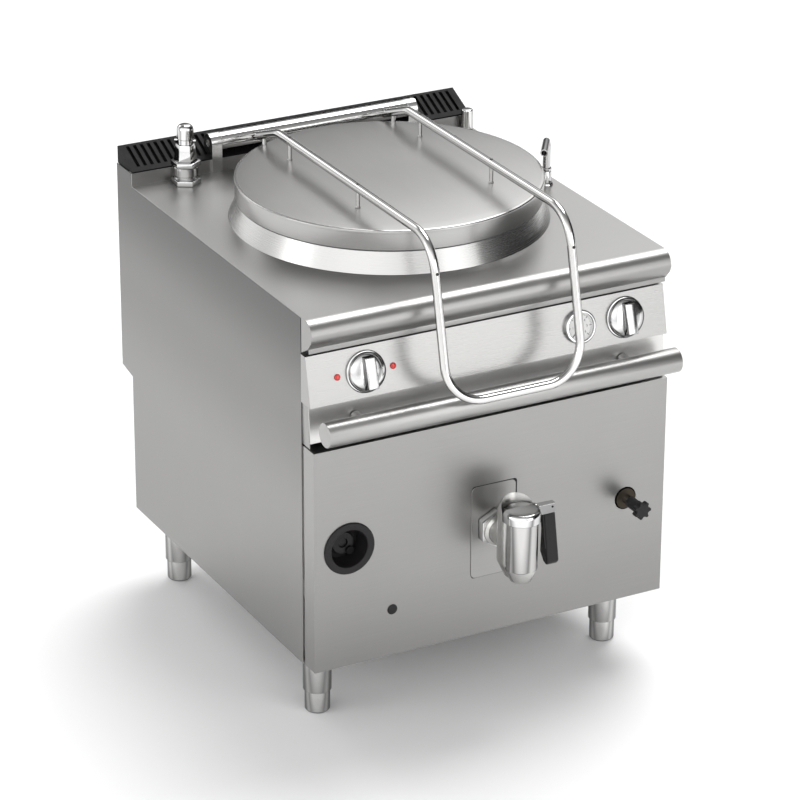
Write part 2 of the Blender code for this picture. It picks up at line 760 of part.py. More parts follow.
def control_panel(panel):
    """A tilted tray whose open back faces into the cabinet."""
    head = (PANEL_FOOT_Y + math.sin(PANEL_TILT) * PANEL_LENGTH, PANEL_HEAD_Z)
    back = SIDE_FRONT - GAP
    outline = [(PANEL_FOOT_Y, PANEL_FOOT_Z), head, (back, head[1]), (back, PANEL_FOOT_Z)]
    tray = place("control_panel", prism(outline, -0.5 * WIDTH, 0.5 * WIDTH, "X"), STEEL)
    inner = [
        (PANEL_FOOT_Y + SHEET + 2 * GAP, PANEL_FOOT_Z + SHEET),
        (head[0] + SHEET, head[1] - SHEET),
        (back + 0.01, head[1] - SHEET),
        (back + 0.01, PANEL_FOOT_Z + SHEET),
    ]
    cut(tray, "panel_hollow", prism(inner, SHEET - 0.5 * WIDTH, 0.5 * WIDTH - SHEET, "X"))
    holes = [(KNOB_LEFT_X, SPINDLE_RADIUS * 1.5), (KNOB_RIGHT_X, SPINDLE_RADIUS * 1.5)]
    holes += [(x, LAMP_RADIUS * 0.8) for x in LAMP_XS]
    holes.append((GAUGE_X, GAUGE_RADIUS * 0.86))
    for i, (x, radius) in enumerate(holes):
        hole = bore(radius, -0.02, 0.02)
        cut(tray, "panel_hole_%d" % i, hole, (x, 0.0, 0.0), FACING_FRONT, panel)


def lower_fascia():
    """The strip between the control panel and the front panel."""
    low_y = FASCIA_TOP_Y - math.sin(FASCIA_TILT) * FASCIA_LENGTH
    back = SIDE_FRONT - GAP
    path = [
        (back, FASCIA_TOP_Z),
        (FASCIA_TOP_Y, FASCIA_TOP_Z),
        (low_y, FASCIA_FOOT_Z),
        (back, FASCIA_FOOT_Z),
    ]
    strip = place("lower_fascia", folded(path, 0.5 * WIDTH - SHEET), STEEL)
    for hand, side in ((-1, "left"), (1, "right")):
        spot = (hand * RAIL_POST_X, 0.0, RAIL_Z)
        hole = bore(RAIL_POST_RADIUS * 0.6, -0.05, 0.05)
        cut(strip, "rail_hole_" + side, hole, spot, FACING_FRONT)


def front_panel():
    """A box-folded panel with holes for the tap, the cock, the cup and the plug."""
    outline = [
        (FRONT_FACE, FRONT_BOTTOM),
        (FRONT_REAR, FRONT_BOTTOM),
        (FRONT_REAR, FRONT_TOP),
        (FRONT_FACE, FRONT_TOP),
    ]
    pan = place("front_panel", prism(outline, -FRONT_HALF_WIDTH, FRONT_HALF_WIDTH, "X"), STEEL)
    low = (SHEET - FRONT_HALF_WIDTH, FRONT_FACE + SHEET, FRONT_BOTTOM + SHEET)
    high = (FRONT_HALF_WIDTH - SHEET, FRONT_REAR + 0.01, FRONT_TOP - SHEET)
    cut(pan, "front_hollow", block(low, high))
    hook_low = FRONT_BOTTOM + FRONT_HOOK_RISE
    for hand, side in ((-1, "left"), (1, "right")):
        inner = FRONT_HALF_WIDTH - SHEET - FLANGE * 0.5
        xs = sorted((hand * inner, hand * (FRONT_HALF_WIDTH - FRONT_HOOK_INSET)))
        hook = block(
            (xs[0], FRONT_REAR - SHEET, hook_low),
            (xs[1], SIDE_FRONT - GAP, hook_low + FRONT_HOOK_HEIGHT),
        )
        join(pan, "front_hook_" + side, hook)
    holes = (
        ("tap_hole", 0.0, TAP_AXIS_Z, PIPE_RADIUS),
        ("cock_hole", COCK_X, COCK_Z, COCK_HOLE_RADIUS),
        ("cup_hole", CUP_X, CUP_Z, CUP_MOUTH_RADIUS + CUP_FLANGE),
        ("plug_hole", PLUG_X, PLUG_Z, PLUG_RADIUS * 0.8),
    )
    for name, x, z, radius in holes:
        hole = bore(radius, -0.01, 0.01, SMALL_STEPS)
        cut(pan, name, hole, (x, FRONT_FACE, z), FACING_FRONT)


def handle_rail():
    """A round rail with closed ends on two posts."""
    half = 0.5 * WIDTH - RAIL_END_INSET
    shape = turned([
        (0.0, half),
        (RAIL_RADIUS - RAIL_CHAMFER, half),
        (RAIL_RADIUS, half - RAIL_CHAMFER),
        (RAIL_RADIUS, RAIL_CHAMFER - half),
        (RAIL_RADIUS - RAIL_CHAMFER, -half),
        (0.0, -half),
    ], 24)
    turn = (0.0, math.pi / 2, 0.0)
    rail = place("handle_rail", shape, BRIGHT, (0.0, RAIL_Y, RAIL_Z), turn)
    strip_y = FASCIA_TOP_Y - math.tan(FASCIA_TILT) * (FASCIA_TOP_Z - RAIL_Z)
    reach = strip_y - RAIL_Y
    root = RAIL_POST_RADIUS * 0.6
    for hand, side in ((-1, "left"), (1, "right")):
        post = turned([
            (0.0, -0.5 * RAIL_RADIUS),
            (RAIL_POST_RADIUS, -0.5 * RAIL_RADIUS),
            (RAIL_POST_RADIUS, RAIL_SEAT - reach),
            (root, RAIL_SEAT - reach),
            (root, -reach - RAIL_POST_ROOT),
            (0.0, -reach - RAIL_POST_ROOT),
        ][::-1], 16)
        spot = (hand * RAIL_POST_X, RAIL_Y, RAIL_Z)
        join(rail, "rail_post_" + side, post, spot, FACING_FRONT)


# Kettle

def kettle_collar():
    low = WORKTOP_HEIGHT + GAP
    high = WORKTOP_HEIGHT + COLLAR_HEIGHT
    place("kettle_collar", turned([
        (COLLAR_TOP_RADIUS - SHEET, high),
        (COLLAR_TOP_RADIUS, high),
        (COLLAR_BASE_RADIUS, low),
        (COLLAR_BASE_RADIUS - COLLAR_HEM, low),
        (COLLAR_TOP_RADIUS - SHEET, high - SHEET),
    ]), STEEL, (0.0, KETTLE_Y, 0.0))


def vessel_wall(radius, floor_z, corner):
    """Half the section of a dished cup, from its wall down to its middle."""
    centre = (radius - corner, floor_z + corner)
    return arc(centre, corner, 0.0, -math.pi / 2, 4)


def kettle_vessel():
    """The cup that holds the food, with a flat rim and a drain hole."""
    under = VESSEL_FLOOR_Z - VESSEL_WALL
    inner = vessel_wall(VESSEL_RADIUS, VESSEL_FLOOR_Z, VESSEL_CORNER)
    outer = vessel_wall(VESSEL_RADIUS + VESSEL_WALL, under, VESSEL_CORNER + VESSEL_WALL)
    drain = PIPE_RADIUS - PIPE_WALL
    profile = (
        [(VESSEL_RADIUS, RIM_Z), (COLLAR_TOP_RADIUS, RIM_Z)]
        + [(COLLAR_TOP_RADIUS, RIM_Z - VESSEL_WALL)]
        + [(VESSEL_RADIUS + VESSEL_WALL, RIM_Z - VESSEL_WALL)]
        + outer
        + [(drain, under), (drain, VESSEL_FLOOR_Z)]
        + inner[::-1]
    )
    place("kettle_vessel", turned(profile), STEEL, (0.0, KETTLE_Y, 0.0))


def heater_legs():
    """Where the heating element's rods pass through the jacket's floor."""
    turn = math.radians(90.0)
    middle = (HEATER_RADIUS * math.cos(turn), HEATER_RADIUS * math.sin(turn))
    return middle, [(middle[0] + side * HEATER_SPREAD, middle[1]) for side in (-1, 1)]


def jacket_shell():
    """The steam jacket: an outer cup closed against the vessel at its top."""
    top = WORKTOP_HEIGHT - JACKET_TOP_DROP
    low = JACKET_FLOOR_Z
    inner = vessel_wall(JACKET_RADIUS, low, JACKET_CORNER)
    outer = vessel_wall(JACKET_RADIUS + SHEET, low - SHEET, JACKET_CORNER + SHEET)
    hole = cleared(PIPE_RADIUS, JACKET_STEPS)
    collar = cleared(VESSEL_RADIUS + VESSEL_WALL, JACKET_STEPS)
    profile = (
        [(collar, top), (JACKET_RADIUS + SHEET, top)]
        + outer
        + [(hole, low - SHEET), (hole, low)]
        + inner[::-1]
        + [(JACKET_RADIUS, top - SHEET), (collar, top - SHEET)]
    )
    shell = place("jacket_shell", turned(profile, JACKET_STEPS), STEEL, (0.0, KETTLE_Y, 0.0))
    for i, (x, y) in enumerate(heater_legs()[1]):
        hole = bore(HEATER_ROD, -0.02, 0.02)
        cut(shell, "heater_hole_%d" % i, hole, (x, KETTLE_Y + y, low))
    pipe_hole = bore(COCK_PIPE_RADIUS, -0.02, 0.02)
    cut(shell, "cock_pipe_hole", pipe_hole, (COCK_PIPE_X, KETTLE_Y, low))


def heating_element():
    """A flange below the jacket and one rod bent round inside it."""
    (mid_x, mid_y), legs = heater_legs()
    low = JACKET_FLOOR_Z - SHEET - GAP
    ring_z = JACKET_FLOOR_Z + 0.5 * JACKET_FLOOR_GAP
    reach = HEATER_RADIUS * 0.62
    spread = HEATER_RADIUS * 0.55
    corners = [
        (legs[0][0], mid_y, low - 0.008),
        (legs[0][0], mid_y, ring_z),
        (legs[0][0] - spread, mid_y - 0.02, ring_z),
        (legs[0][0] - spread, -reach, ring_z),
        (legs[1][0] + spread, -reach, ring_z),
        (legs[1][0] + spread, mid_y - 0.02, ring_z),
        (legs[1][0], mid_y, ring_z),
        (legs[1][0], mid_y, low - 0.008),
    ]
    bend = 0.018
    path = rounded_path(corners, [bend, bend, 0.05, 0.05, bend, bend], 0.6)
    element = place("heating_element", bar(path, HEATER_ROD, sides=6), BRIGHT, (0.0, KETTLE_Y, 0.0))
    flange = disc(HEATER_FLANGE_RADIUS, low - 0.006, low, FINE_STEPS)
    join(element, "heater_flange", flange, (mid_x, KETTLE_Y + mid_y, 0.0))


def strainer():
    """A domed disc with holes over the drain."""
    low = VESSEL_FLOOR_Z + GAP
    dome = [
        (0.0, low + STRAINER_RISE),
        (0.6 * STRAINER_RADIUS, low + 0.8 * STRAINER_RISE),
        (STRAINER_RADIUS, low + SHEET),
        (STRAINER_RADIUS, low),
        (STRAINER_RADIUS - SHEET, low),
        (0.58 * STRAINER_RADIUS, low + 0.8 * STRAINER_RISE - SHEET),
        (0.0, low + STRAINER_RISE - SHEET),
    ]
    cover = place("strainer", turned(dome, FINE_STEPS), BRIGHT, (0.0, KETTLE_Y, 0.0))
    holes = bmesh.new()
    circle = 0.42 * STRAINER_RADIUS
    for i in range(6):
        turn = i * math.pi / 3
        spot = (circle * math.cos(turn), circle * math.sin(turn), low)
        bmesh.ops.create_cone(
            holes,
            cap_ends=True,
            segments=6,
            radius1=STRAINER_HOLE,
            radius2=STRAINER_HOLE,
            depth=0.06,
            matrix=Matrix.Translation(spot),
        )
    cut(cover, "strainer_holes", holes, (0.0, KETTLE_Y, 0.0))


def discharge_pipe():
    """From the vessel's drain down, then forward through the front panel."""
    top = VESSEL_FLOOR_Z - VESSEL_WALL - GAP
    end = FRONT_FACE - TAP_NUT_LENGTH * 0.4
    corners = [(0.0, KETTLE_Y, top), (0.0, KETTLE_Y, TAP_AXIS_Z), (0.0, end, TAP_AXIS_Z)]
    outside = bar(rounded_path(corners, [0.042], 0.3), PIPE_RADIUS, sides=12)
    pipe = place("discharge_pipe", outside, STEEL)
    longer = [
        (0.0, KETTLE_Y, top + 0.01),
        (0.0, KETTLE_Y, TAP_AXIS_Z),
        (0.0, end - 0.01, TAP_AXIS_Z),
    ]
    inside = bar(rounded_path(longer, [0.042], 0.3), PIPE_RADIUS - PIPE_WALL, sides=12)
    cut(pipe, "pipe_bore", inside)


# Lid and hinge

def lid_surface(radius):
    """Height of the lid's top at a radius: a slight crown."""
    return LID_TOP_Z + LID_RISE * (1.0 - (radius / LID_EDGE_RADIUS) ** 2)


def lid(pivot):
    """A crowned cover with a rounded bead and an inner flange for its seal."""
    seal_top = RIM_Z + GAP + SEAL_HEIGHT + GAP
    wall = LID_RADIUS - LID_SHEET
    bead_z = LID_FOOT_Z + 0.78 * LID_HEIGHT
    rings = [share * LID_EDGE_RADIUS for share in (0.45, 0.8, 1.0)]
    crown = [(radius, lid_surface(radius)) for radius in rings]
    profile = (
        [(0.0, lid_surface(0.0))]
        + crown
        + [
            (LID_BEAD_RADIUS - 0.002, LID_TOP_Z - 0.003),
            (LID_BEAD_RADIUS, LID_TOP_Z - 0.006),
            (LID_BEAD_RADIUS, bead_z),
            (LID_BEAD_RADIUS - 0.002, bead_z - 0.003),
            (LID_RADIUS, bead_z - 0.005),
            (LID_RADIUS, LID_FOOT_Z),
            (wall, LID_FOOT_Z),
            (wall, seal_top),
            (wall - SEAL_WIDTH - 0.002, seal_top),
            (wall - SEAL_WIDTH - 0.002, seal_top + LID_SHEET),
            (wall, seal_top + LID_SHEET),
            (wall, LID_TOP_Z - 2 * LID_SHEET),
        ]
        + [(r * 0.99, z - LID_SHEET) for r, z in crown[::-1]]
        + [(0.0, lid_surface(0.0) - LID_SHEET)]
    )
    centre = Vector((0.0, KETTLE_Y - HINGE_Y, -HINGE_Z))
    place("lid", turned(profile), BRIGHT, centre, parent=pivot)
    seal_low = RIM_Z + GAP
    seal = ring(wall - GAP, wall - SEAL_WIDTH, seal_low, seal_low + SEAL_HEIGHT)
    place("lid_seal", seal, RUBBER, centre, parent=pivot)


def lid_handle_frame(pivot):
    """One bent tube with flattened ends at the hinge, on short studs."""
    slope = math.atan2(FRAME_HEIGHT - HINGE_Z, HINGE_Y - FRAME_REAR_BEND_Y)
    touch = HINGE_RADIUS + GAP
    end_y = HINGE_Y - touch * math.cos(slope)
    end_z = HINGE_Z + touch * math.sin(slope)
    leg = math.tan(FRAME_LEG_SLOPE)
    foot_y = FRAME_FRONT_BEND_Y - leg * (FRAME_HEIGHT - FRAME_BOTTOM_Z)
    half_path = [
        (end_y, end_z),
        (FRAME_REAR_BEND_Y, FRAME_HEIGHT),
        (FRAME_FRONT_BEND_Y, FRAME_HEIGHT),
        (foot_y, FRAME_BOTTOM_Z),
    ]
    corners = [(-FRAME_HALF_SPREAD, y - HINGE_Y, z - HINGE_Z) for y, z in half_path]
    corners += [(FRAME_HALF_SPREAD, y - HINGE_Y, z - HINGE_Z) for y, z in half_path[::-1]]
    radii = [FRAME_REAR_RADIUS, FRAME_FRONT_RADIUS, FRAME_CORNER_RADIUS]
    points = rounded_path(corners, radii + radii[::-1])
    direction = (points[1] - points[0]).normalized()
    tongue = [points[0] + direction * TONGUE_LENGTH * share for share in (0.0, 0.45, 0.75, 1.0)]
    mirror = [Vector((-point.x, point.y, point.z)) for point in tongue[::-1]]
    flat = (TONGUE_HALF_WIDTH, TONGUE_HALF_THICKNESS)
    between = (
        0.5 * (TONGUE_HALF_WIDTH + FRAME_TUBE),
        0.45 * FRAME_TUBE + 0.5 * TONGUE_HALF_THICKNESS,
    )
    end_sizes = [flat, flat, between, (FRAME_TUBE, FRAME_TUBE)]
    middle = points[1:-1]
    sizes = end_sizes + [(FRAME_TUBE, FRAME_TUBE)] * len(middle) + end_sizes[::-1]
    tube = swept(tongue + middle + mirror, sizes, (1.0, 0.0, 0.0), 8)
    frame = place("lid_handle_frame", tube, BRIGHT, parent=pivot)
    tongue_z = HINGE_Z + math.tan(slope) * (HINGE_Y - REST_STUB_Y)
    studs = []
    for x in (-FRAME_HALF_SPREAD, FRAME_HALF_SPREAD):
        for y in STUD_YS:
            surface = lid_surface(math.hypot(x, y - KETTLE_Y))
            stud = disc(STUD_RADIUS, surface + 1.5 * GAP, FRAME_HEIGHT + 0.002, 12)
            studs.append((stud, (x, y - HINGE_Y, -HINGE_Z)))
        stub = disc(REST_STUB_RADIUS, LID_TOP_Z + 2 * GAP, tongue_z + 0.001, 12)
        studs.append((stub, (x, REST_STUB_Y - HINGE_Y, -HINGE_Z)))
    join(frame, "lid_studs", gathered(studs), parent=pivot)


def hinge_tube(pivot):
    """The balance tube between the straps, with a pin at each end."""
    low = HINGE_LEFT + GAP
    high = HINGE_RIGHT - GAP
    profile = [
        (0.0, high + HINGE_PIN_LENGTH),
        (HINGE_PIN_RADIUS, high + HINGE_PIN_LENGTH),
        (HINGE_PIN_RADIUS, high),
        (HINGE_RADIUS, high),
        (HINGE_RADIUS, low),
        (HINGE_PIN_RADIUS, low),
        (HINGE_PIN_RADIUS, low - HINGE_PIN_LENGTH),
        (0.0, low - HINGE_PIN_LENGTH),
    ]
    place("hinge_tube", turned(profile, 24), BRIGHT, turn=(0.0, math.pi / 2, 0.0), parent=pivot)


def hinge_strap(name, start, end):
    """A bearing block under a bent strap, open for the pin."""
    front = HINGE_Y - STRAP_RADIUS
    over = UPSTAND_FRONT - GAP
    grille_low = WORKTOP_HEIGHT + UPSTAND_HEIGHT + GAP + GRILLE_FRONT_EDGE
    slope = (GRILLE_RISE - GRILLE_FRONT_EDGE) / (OVERHANG_REAR - UPSTAND_FRONT)
    rear = HINGE_Y + STRAP_RADIUS
    clear = 2 * GAP
    outline = [(over, WORKTOP_HEIGHT + GAP), (over, grille_low + clear)]
    outline += [(rear, grille_low + slope * (rear - UPSTAND_FRONT) + clear)]
    outline += arc((HINGE_Y, HINGE_Z), STRAP_RADIUS, 0.0, math.pi, 12)
    outline += [(front, WORKTOP_HEIGHT + GAP)]
    strap = place(name, prism(outline, start, end, "X"), STEEL)
    hole = bore(HINGE_PIN_RADIUS, -STRAP_WIDTH - 0.01, STRAP_WIDTH + 0.01)
    spot = (start, HINGE_Y, HINGE_Z)
    cut(strap, name + "_bore", hole, spot, (0.0, math.pi / 2, 0.0))


# Draw-off tap

def tap_plate():
    outline = rounded_rectangle(0.5 * TAP_PLATE_WIDTH, 0.5 * TAP_PLATE_HEIGHT, TAP_PLATE_CORNER)
    plate = prism(outline, GAP, GAP + TAP_PLATE_THICKNESS, "Z")
    cover = place("tap_plate", plate, STEEL, (0.0, FRONT_FACE, TAP_PLATE_Z), FACING_FRONT)
    hole = bore(PIPE_RADIUS, -0.01, 0.01)
    cut(cover, "tap_plate_hole", hole, (0.0, FRONT_FACE, TAP_AXIS_Z), FACING_FRONT)


def tap_nut():
    """A union nut round the pipe's end, between the plate and the tap."""
    start = 2 * GAP + TAP_PLATE_THICKNESS
    nut = prism(hexagon(TAP_NUT_FLATS), start, start + TAP_NUT_LENGTH, "Z")
    made = place("tap_nut", nut, BRIGHT, (0.0, FRONT_FACE, TAP_AXIS_Z), FACING_FRONT)
    hole = bore(PIPE_RADIUS, -0.02, start + 0.4 * TAP_NUT_LENGTH)
    cut(made, "tap_nut_bore", hole, (0.0, FRONT_FACE, TAP_AXIS_Z), FACING_FRONT)


def tap_body():
    """A domed hood on a short neck, with the outlet barrel standing in front of it."""
    hood = turned(
        [(0.0, TAP_DOME_Z + TAP_RADIUS)]
        + arc((0.0, TAP_DOME_Z), TAP_RADIUS, math.pi / 2, 0.0, 5)[1:]
        + [
            (TAP_RADIUS, TAP_SKIRT_Z),
            (TAP_OUTLET_RADIUS, TAP_OUTLET_Z + TAP_HOOD_FOOT),
            (0.0, TAP_OUTLET_Z + TAP_HOOD_FOOT),
        ],
        SMALL_STEPS,
    )
    body = place("tap_body", hood, BRIGHT, (0.0, TAP_Y, 0.0))
    start = TAP_NUT_LENGTH + 3 * GAP + TAP_PLATE_THICKNESS
    neck = turned([
        (0.0, TAP_REACH - 0.01),
        (TAP_NECK_RADIUS, TAP_REACH - 0.01),
        (TAP_NECK_RADIUS, start + 0.008),
        (TAP_NUT_FLATS * 0.46, start + 0.005),
        (TAP_NUT_FLATS * 0.46, start),
        (0.0, start),
    ], 24)
    join(body, "tap_neck", neck, (0.0, FRONT_FACE, TAP_AXIS_Z), FACING_FRONT)
    cheek = disc(LEVER_PIN_RADIUS + 0.003, 0.5 * TAP_RADIUS, TAP_RADIUS + LEVER_CHEEK, FINE_STEPS)
    spot = (0.0, TAP_Y - LEVER_SET, TAP_DOME_Z)
    join(body, "tap_cheek", cheek, spot, (0.0, math.pi / 2, 0.0))
    seat = bore(TAP_CAP_RADIUS, TAP_CAP_Z, TAP_CAP_Z + 0.1, 24)
    cut(body, "tap_seat", seat, (0.0, BARREL_Y, 0.0))
    barrel = turned([
        (0.0, TAP_CAP_Z - GAP),
        (TAP_BARREL_RADIUS, TAP_CAP_Z - GAP),
        (TAP_BARREL_RADIUS, TAP_OUTLET_Z + TAP_BARREL_CONE),
        (TAP_OUTLET_RADIUS, TAP_OUTLET_Z),
        (0.0, TAP_OUTLET_Z),
    ], 24)
    join(body, "tap_barrel", barrel, (0.0, BARREL_Y, 0.0))
    outlet = disc(TAP_BORE, TAP_OUTLET_Z - 0.01, TAP_OUTLET_Z + TAP_BORE_DEPTH, FINE_STEPS)
    cut(body, "tap_outlet", outlet, (0.0, BARREL_Y, 0.0))


def tap_bonnet():
    """The round cap on top of the barrel."""
    cover = turned([
        (0.0, TAP_CAP_HEIGHT),
        (TAP_CAP_RADIUS - TAP_CAP_EDGE, TAP_CAP_HEIGHT),
        (TAP_CAP_RADIUS, TAP_CAP_HEIGHT - TAP_CAP_EDGE),
        (TAP_CAP_RADIUS, GAP),
        (0.0, GAP),
    ], 24)
    place("tap_bonnet", cover, BRIGHT, (0.0, BARREL_Y, TAP_CAP_Z))


def tap_lever(pivot):
    """A spindle, a flat arm in front of it and a tang that carries the grip."""
    inner = TAP_RADIUS + LEVER_CHEEK + GAP
    front = -LEVER_PIN_RADIUS - LEVER_THICKNESS
    pin = disc(LEVER_PIN_RADIUS, inner, LEVER_REACH - 0.01, FINE_STEPS)
    lever = place("tap_lever", pin, BRIGHT, turn=(0.0, math.pi / 2, 0.0), parent=pivot)
    arm = block((inner, front, -LEVER_HALF_HEIGHT), (LEVER_REACH, 0.0, LEVER_HALF_HEIGHT))
    join(lever, "lever_arm", arm, parent=pivot)
    tang_x = LEVER_REACH - GRIP_WIDTH - GAP
    slope = math.tan(GRIP_LEAN)
    foot = -LEVER_HALF_HEIGHT - TANG_LENGTH
    tang = prism([
        (front + 0.001, 0.5 * LEVER_HALF_HEIGHT - LEVER_HALF_HEIGHT),
        (front + 0.001, -LEVER_HALF_HEIGHT),
        (front + 0.001 - slope * TANG_LENGTH, foot),
        (front + 0.001 - slope * TANG_LENGTH + GRIP_TOP_DEPTH, foot),
        (front + 0.001 + GRIP_TOP_DEPTH, 0.5 * LEVER_HALF_HEIGHT - LEVER_HALF_HEIGHT),
    ], tang_x - TANG_THICKNESS, tang_x, "X")
    join(lever, "lever_tang", tang, parent=pivot)


def tap_grip(pivot):
    """The moulded grip under the arm: a wedge that deepens toward its foot."""
    front = -LEVER_PIN_RADIUS - LEVER_THICKNESS + 0.001
    top = -LEVER_HALF_HEIGHT - GAP
    foot = top - GRIP_LENGTH
    front_foot = front - math.tan(GRIP_LEAN) * GRIP_LENGTH
    shape = prism([
        (front, top),
        (front_foot + 0.001, foot + 0.008),
        (front_foot + 0.008, foot),
        (front_foot + 0.6 * GRIP_FOOT_DEPTH, foot + 0.004),
        (front_foot + GRIP_FOOT_DEPTH, foot + 0.022),
        (front + GRIP_TOP_DEPTH, top),
    ], LEVER_REACH - GRIP_WIDTH, LEVER_REACH, "X")
    place("tap_grip", shape, BLACK, parent=pivot)


# Level cock

def level_cock(pivot):
    """The stem through the front panel, its pipe to the jacket and the star wheel."""
    corners = [
        (COCK_X, FRONT_FACE + 0.03, COCK_Z),
        (COCK_X, KETTLE_Y - COCK_PIPE_RUN, COCK_Z),
        (COCK_PIPE_X, KETTLE_Y, COCK_Z),
        (COCK_PIPE_X, KETTLE_Y, JACKET_FLOOR_Z + 0.004),
    ]
    pipe = bar(rounded_path(corners, [0.03, 0.025], 0.45), COCK_PIPE_RADIUS, sides=8)
    body = place("level_valve_body", pipe, BRASS)
    hub = turned([
        (0.0, COCK_HUB_REACH),
        (COCK_HUB_RADIUS, COCK_HUB_REACH),
        (COCK_HUB_RADIUS, 0.020),
        (COCK_HUB_RADIUS * 0.75, 0.018),
        (COCK_HUB_RADIUS * 0.75, 0.006),
        (COCK_HOLE_RADIUS - 0.002, 0.004),
        (COCK_HOLE_RADIUS - 0.002, -0.006),
        (COCK_HUB_RADIUS, -0.008),
        (COCK_HUB_RADIUS, -0.040),
        (0.0, -0.040),
    ], 20)
    join(body, "cock_hub", hub, (COCK_X, FRONT_FACE, COCK_Z), FACING_FRONT)
    points = []
    for i in range(2 * STAR_POINTS):
        radius = STAR_RADIUS if i % 2 == 0 else STAR_ROOT_RADIUS
        middle = math.pi * i / STAR_POINTS
        spread = 0.28 * math.pi / STAR_POINTS
        points += [
            (radius * math.cos(middle - spread), radius * math.sin(middle - spread)),
            (radius * math.cos(middle + spread), radius * math.sin(middle + spread)),
        ]
    star = prism(points, GAP, STAR_THICKNESS, "Z")
    place("star_wheel", star, BLACK, turn=FACING_FRONT, parent=pivot)


# Recessed reset button

def recess_cup():
    """A black cup let into the front panel, with a ring round its button."""
    floor = -CUP_DEPTH
    flange = CUP_FLANGE
    hole = cleared(RESET_RADIUS, SMALL_STEPS)
    cup = turned([
        (hole, floor - 0.003),
        (hole, floor + CUP_RING_HEIGHT),
        (CUP_RING_RADIUS - 0.002, floor + CUP_RING_HEIGHT),
        (CUP_RING_RADIUS, floor + CUP_RING_HEIGHT - 0.002),
        (CUP_RING_RADIUS, floor),
        (CUP_MOUTH_RADIUS - 0.002, floor),
        (CUP_MOUTH_RADIUS, 0.0),
        (CUP_MOUTH_RADIUS + 0.002, flange),
        (CUP_RADIUS - 0.002, flange),
        (CUP_RADIUS, flange - 0.002),
        (CUP_RADIUS, GAP),
        (CUP_MOUTH_RADIUS + flange, GAP),
        (CUP_MOUTH_RADIUS + flange, floor - 0.003),
    ], SMALL_STEPS)
    place("recess_cup", cup, BLACK, (CUP_X, FRONT_FACE, CUP_Z), FACING_FRONT)
    button = turned([
        (0.0, CUP_RING_HEIGHT - RESET_SINK),
        (RESET_RADIUS - 0.001, CUP_RING_HEIGHT - RESET_SINK),
        (RESET_RADIUS, CUP_RING_HEIGHT - RESET_SINK - 0.001),
        (RESET_RADIUS, -0.010),
        (0.0, -0.010),
    ], FINE_STEPS)
    spot = (CUP_X, FRONT_FACE + CUP_DEPTH, CUP_Z)
    place("reset_button", button, BLACK, spot, FACING_FRONT)
    plug = turned([
        (0.0, 0.0015),
        (PLUG_RADIUS - 0.001, 0.0015),
        (PLUG_RADIUS, GAP),
        (PLUG_RADIUS * 0.8 - GAP, GAP),
        (PLUG_RADIUS * 0.8 - GAP, -0.010),
        (0.0, -0.010),
    ], FINE_STEPS)
    place("sight_plug", plug, BLACK, (PLUG_X, FRONT_FACE, PLUG_Z), FACING_FRONT)


# Controls

def bezel_and_switch(side, x, panel):
    """The fixed chrome bezel on the panel and the switch body behind it."""
    hole = cleared(SPINDLE_RADIUS, 24)
    bezel = turned([
        (hole, BEZEL_HEIGHT * 0.6),
        (BEZEL_RADIUS - 0.010, BEZEL_HEIGHT * 0.6),
        (BEZEL_RADIUS - 0.007, BEZEL_HEIGHT),
        (BEZEL_RADIUS - 0.002, BEZEL_HEIGHT),
        (BEZEL_RADIUS, GAP),
        (hole, GAP),
    ], 24)
    place("bezel_" + side, bezel, BRIGHT, (x, 0.0, 0.0), FACING_FRONT, panel)
    half = 0.5 * SWITCH_SIZE
    behind = -SHEET - 3 * GAP
    outline = rounded_rectangle(half, half, 0.004, 2)
    body = prism(outline, behind, behind - SWITCH_DEPTH, "Z")
    switch = place("switch_" + side, body, BLACK, (x, 0.0, 0.0), FACING_FRONT, panel)
    socket = bore(SPINDLE_RADIUS, -SPINDLE_DEPTH - 0.002, 0.01)
    cut(switch, "switch_socket_" + side, socket, (x, 0.0, 0.0), FACING_FRONT, panel)


def knob(side, pivot):
    """A domed skirt, a tall grip bar and the spindle behind them."""
    base = BEZEL_HEIGHT + GAP
    skirt = turned([
        (0.0, base + KNOB_SKIRT),
        (0.35 * KNOB_RADIUS, base + 0.97 * KNOB_SKIRT),
        (0.7 * KNOB_RADIUS, base + 0.75 * KNOB_SKIRT),
        (0.93 * KNOB_RADIUS, base + 0.38 * KNOB_SKIRT),
        (KNOB_RADIUS, base),
        (SPINDLE_RADIUS, base),
        (SPINDLE_RADIUS, -SPINDLE_DEPTH),
        (0.0, -SPINDLE_DEPTH),
    ], 24)
    made = place("knob_" + side, skirt, BRIGHT, turn=FACING_FRONT, parent=pivot)
    half = 0.5 * KNOB_GRIP_LENGTH
    outline = [
        (-half, base + 0.1 * KNOB_SKIRT),
        (half, base + 0.1 * KNOB_SKIRT),
        (half, base + 0.62 * KNOB_GRIP_HEIGHT),
        (0.62 * half, base + KNOB_GRIP_HEIGHT),
        (-0.7 * half, base + 0.93 * KNOB_GRIP_HEIGHT),
        (-half, base + 0.5 * KNOB_GRIP_HEIGHT),
    ]
    grip = prism(outline, -0.5 * KNOB_GRIP_WIDTH, 0.5 * KNOB_GRIP_WIDTH, "X")
    join(made, "grip_" + side, grip, turn=FACING_FRONT, parent=pivot)


def lamp(name, x, panel):
    place(name, turned([
        (0.0, LAMP_HEIGHT),
        (0.6 * LAMP_RADIUS, 0.9 * LAMP_HEIGHT),
        (LAMP_RADIUS, GAP),
        (LAMP_RADIUS * 0.8, GAP),
        (LAMP_RADIUS * 0.8, -0.020),
        (0.0, -0.020),
    ], 16), RED, (x, 0.0, 0.0), FACING_FRONT, panel)


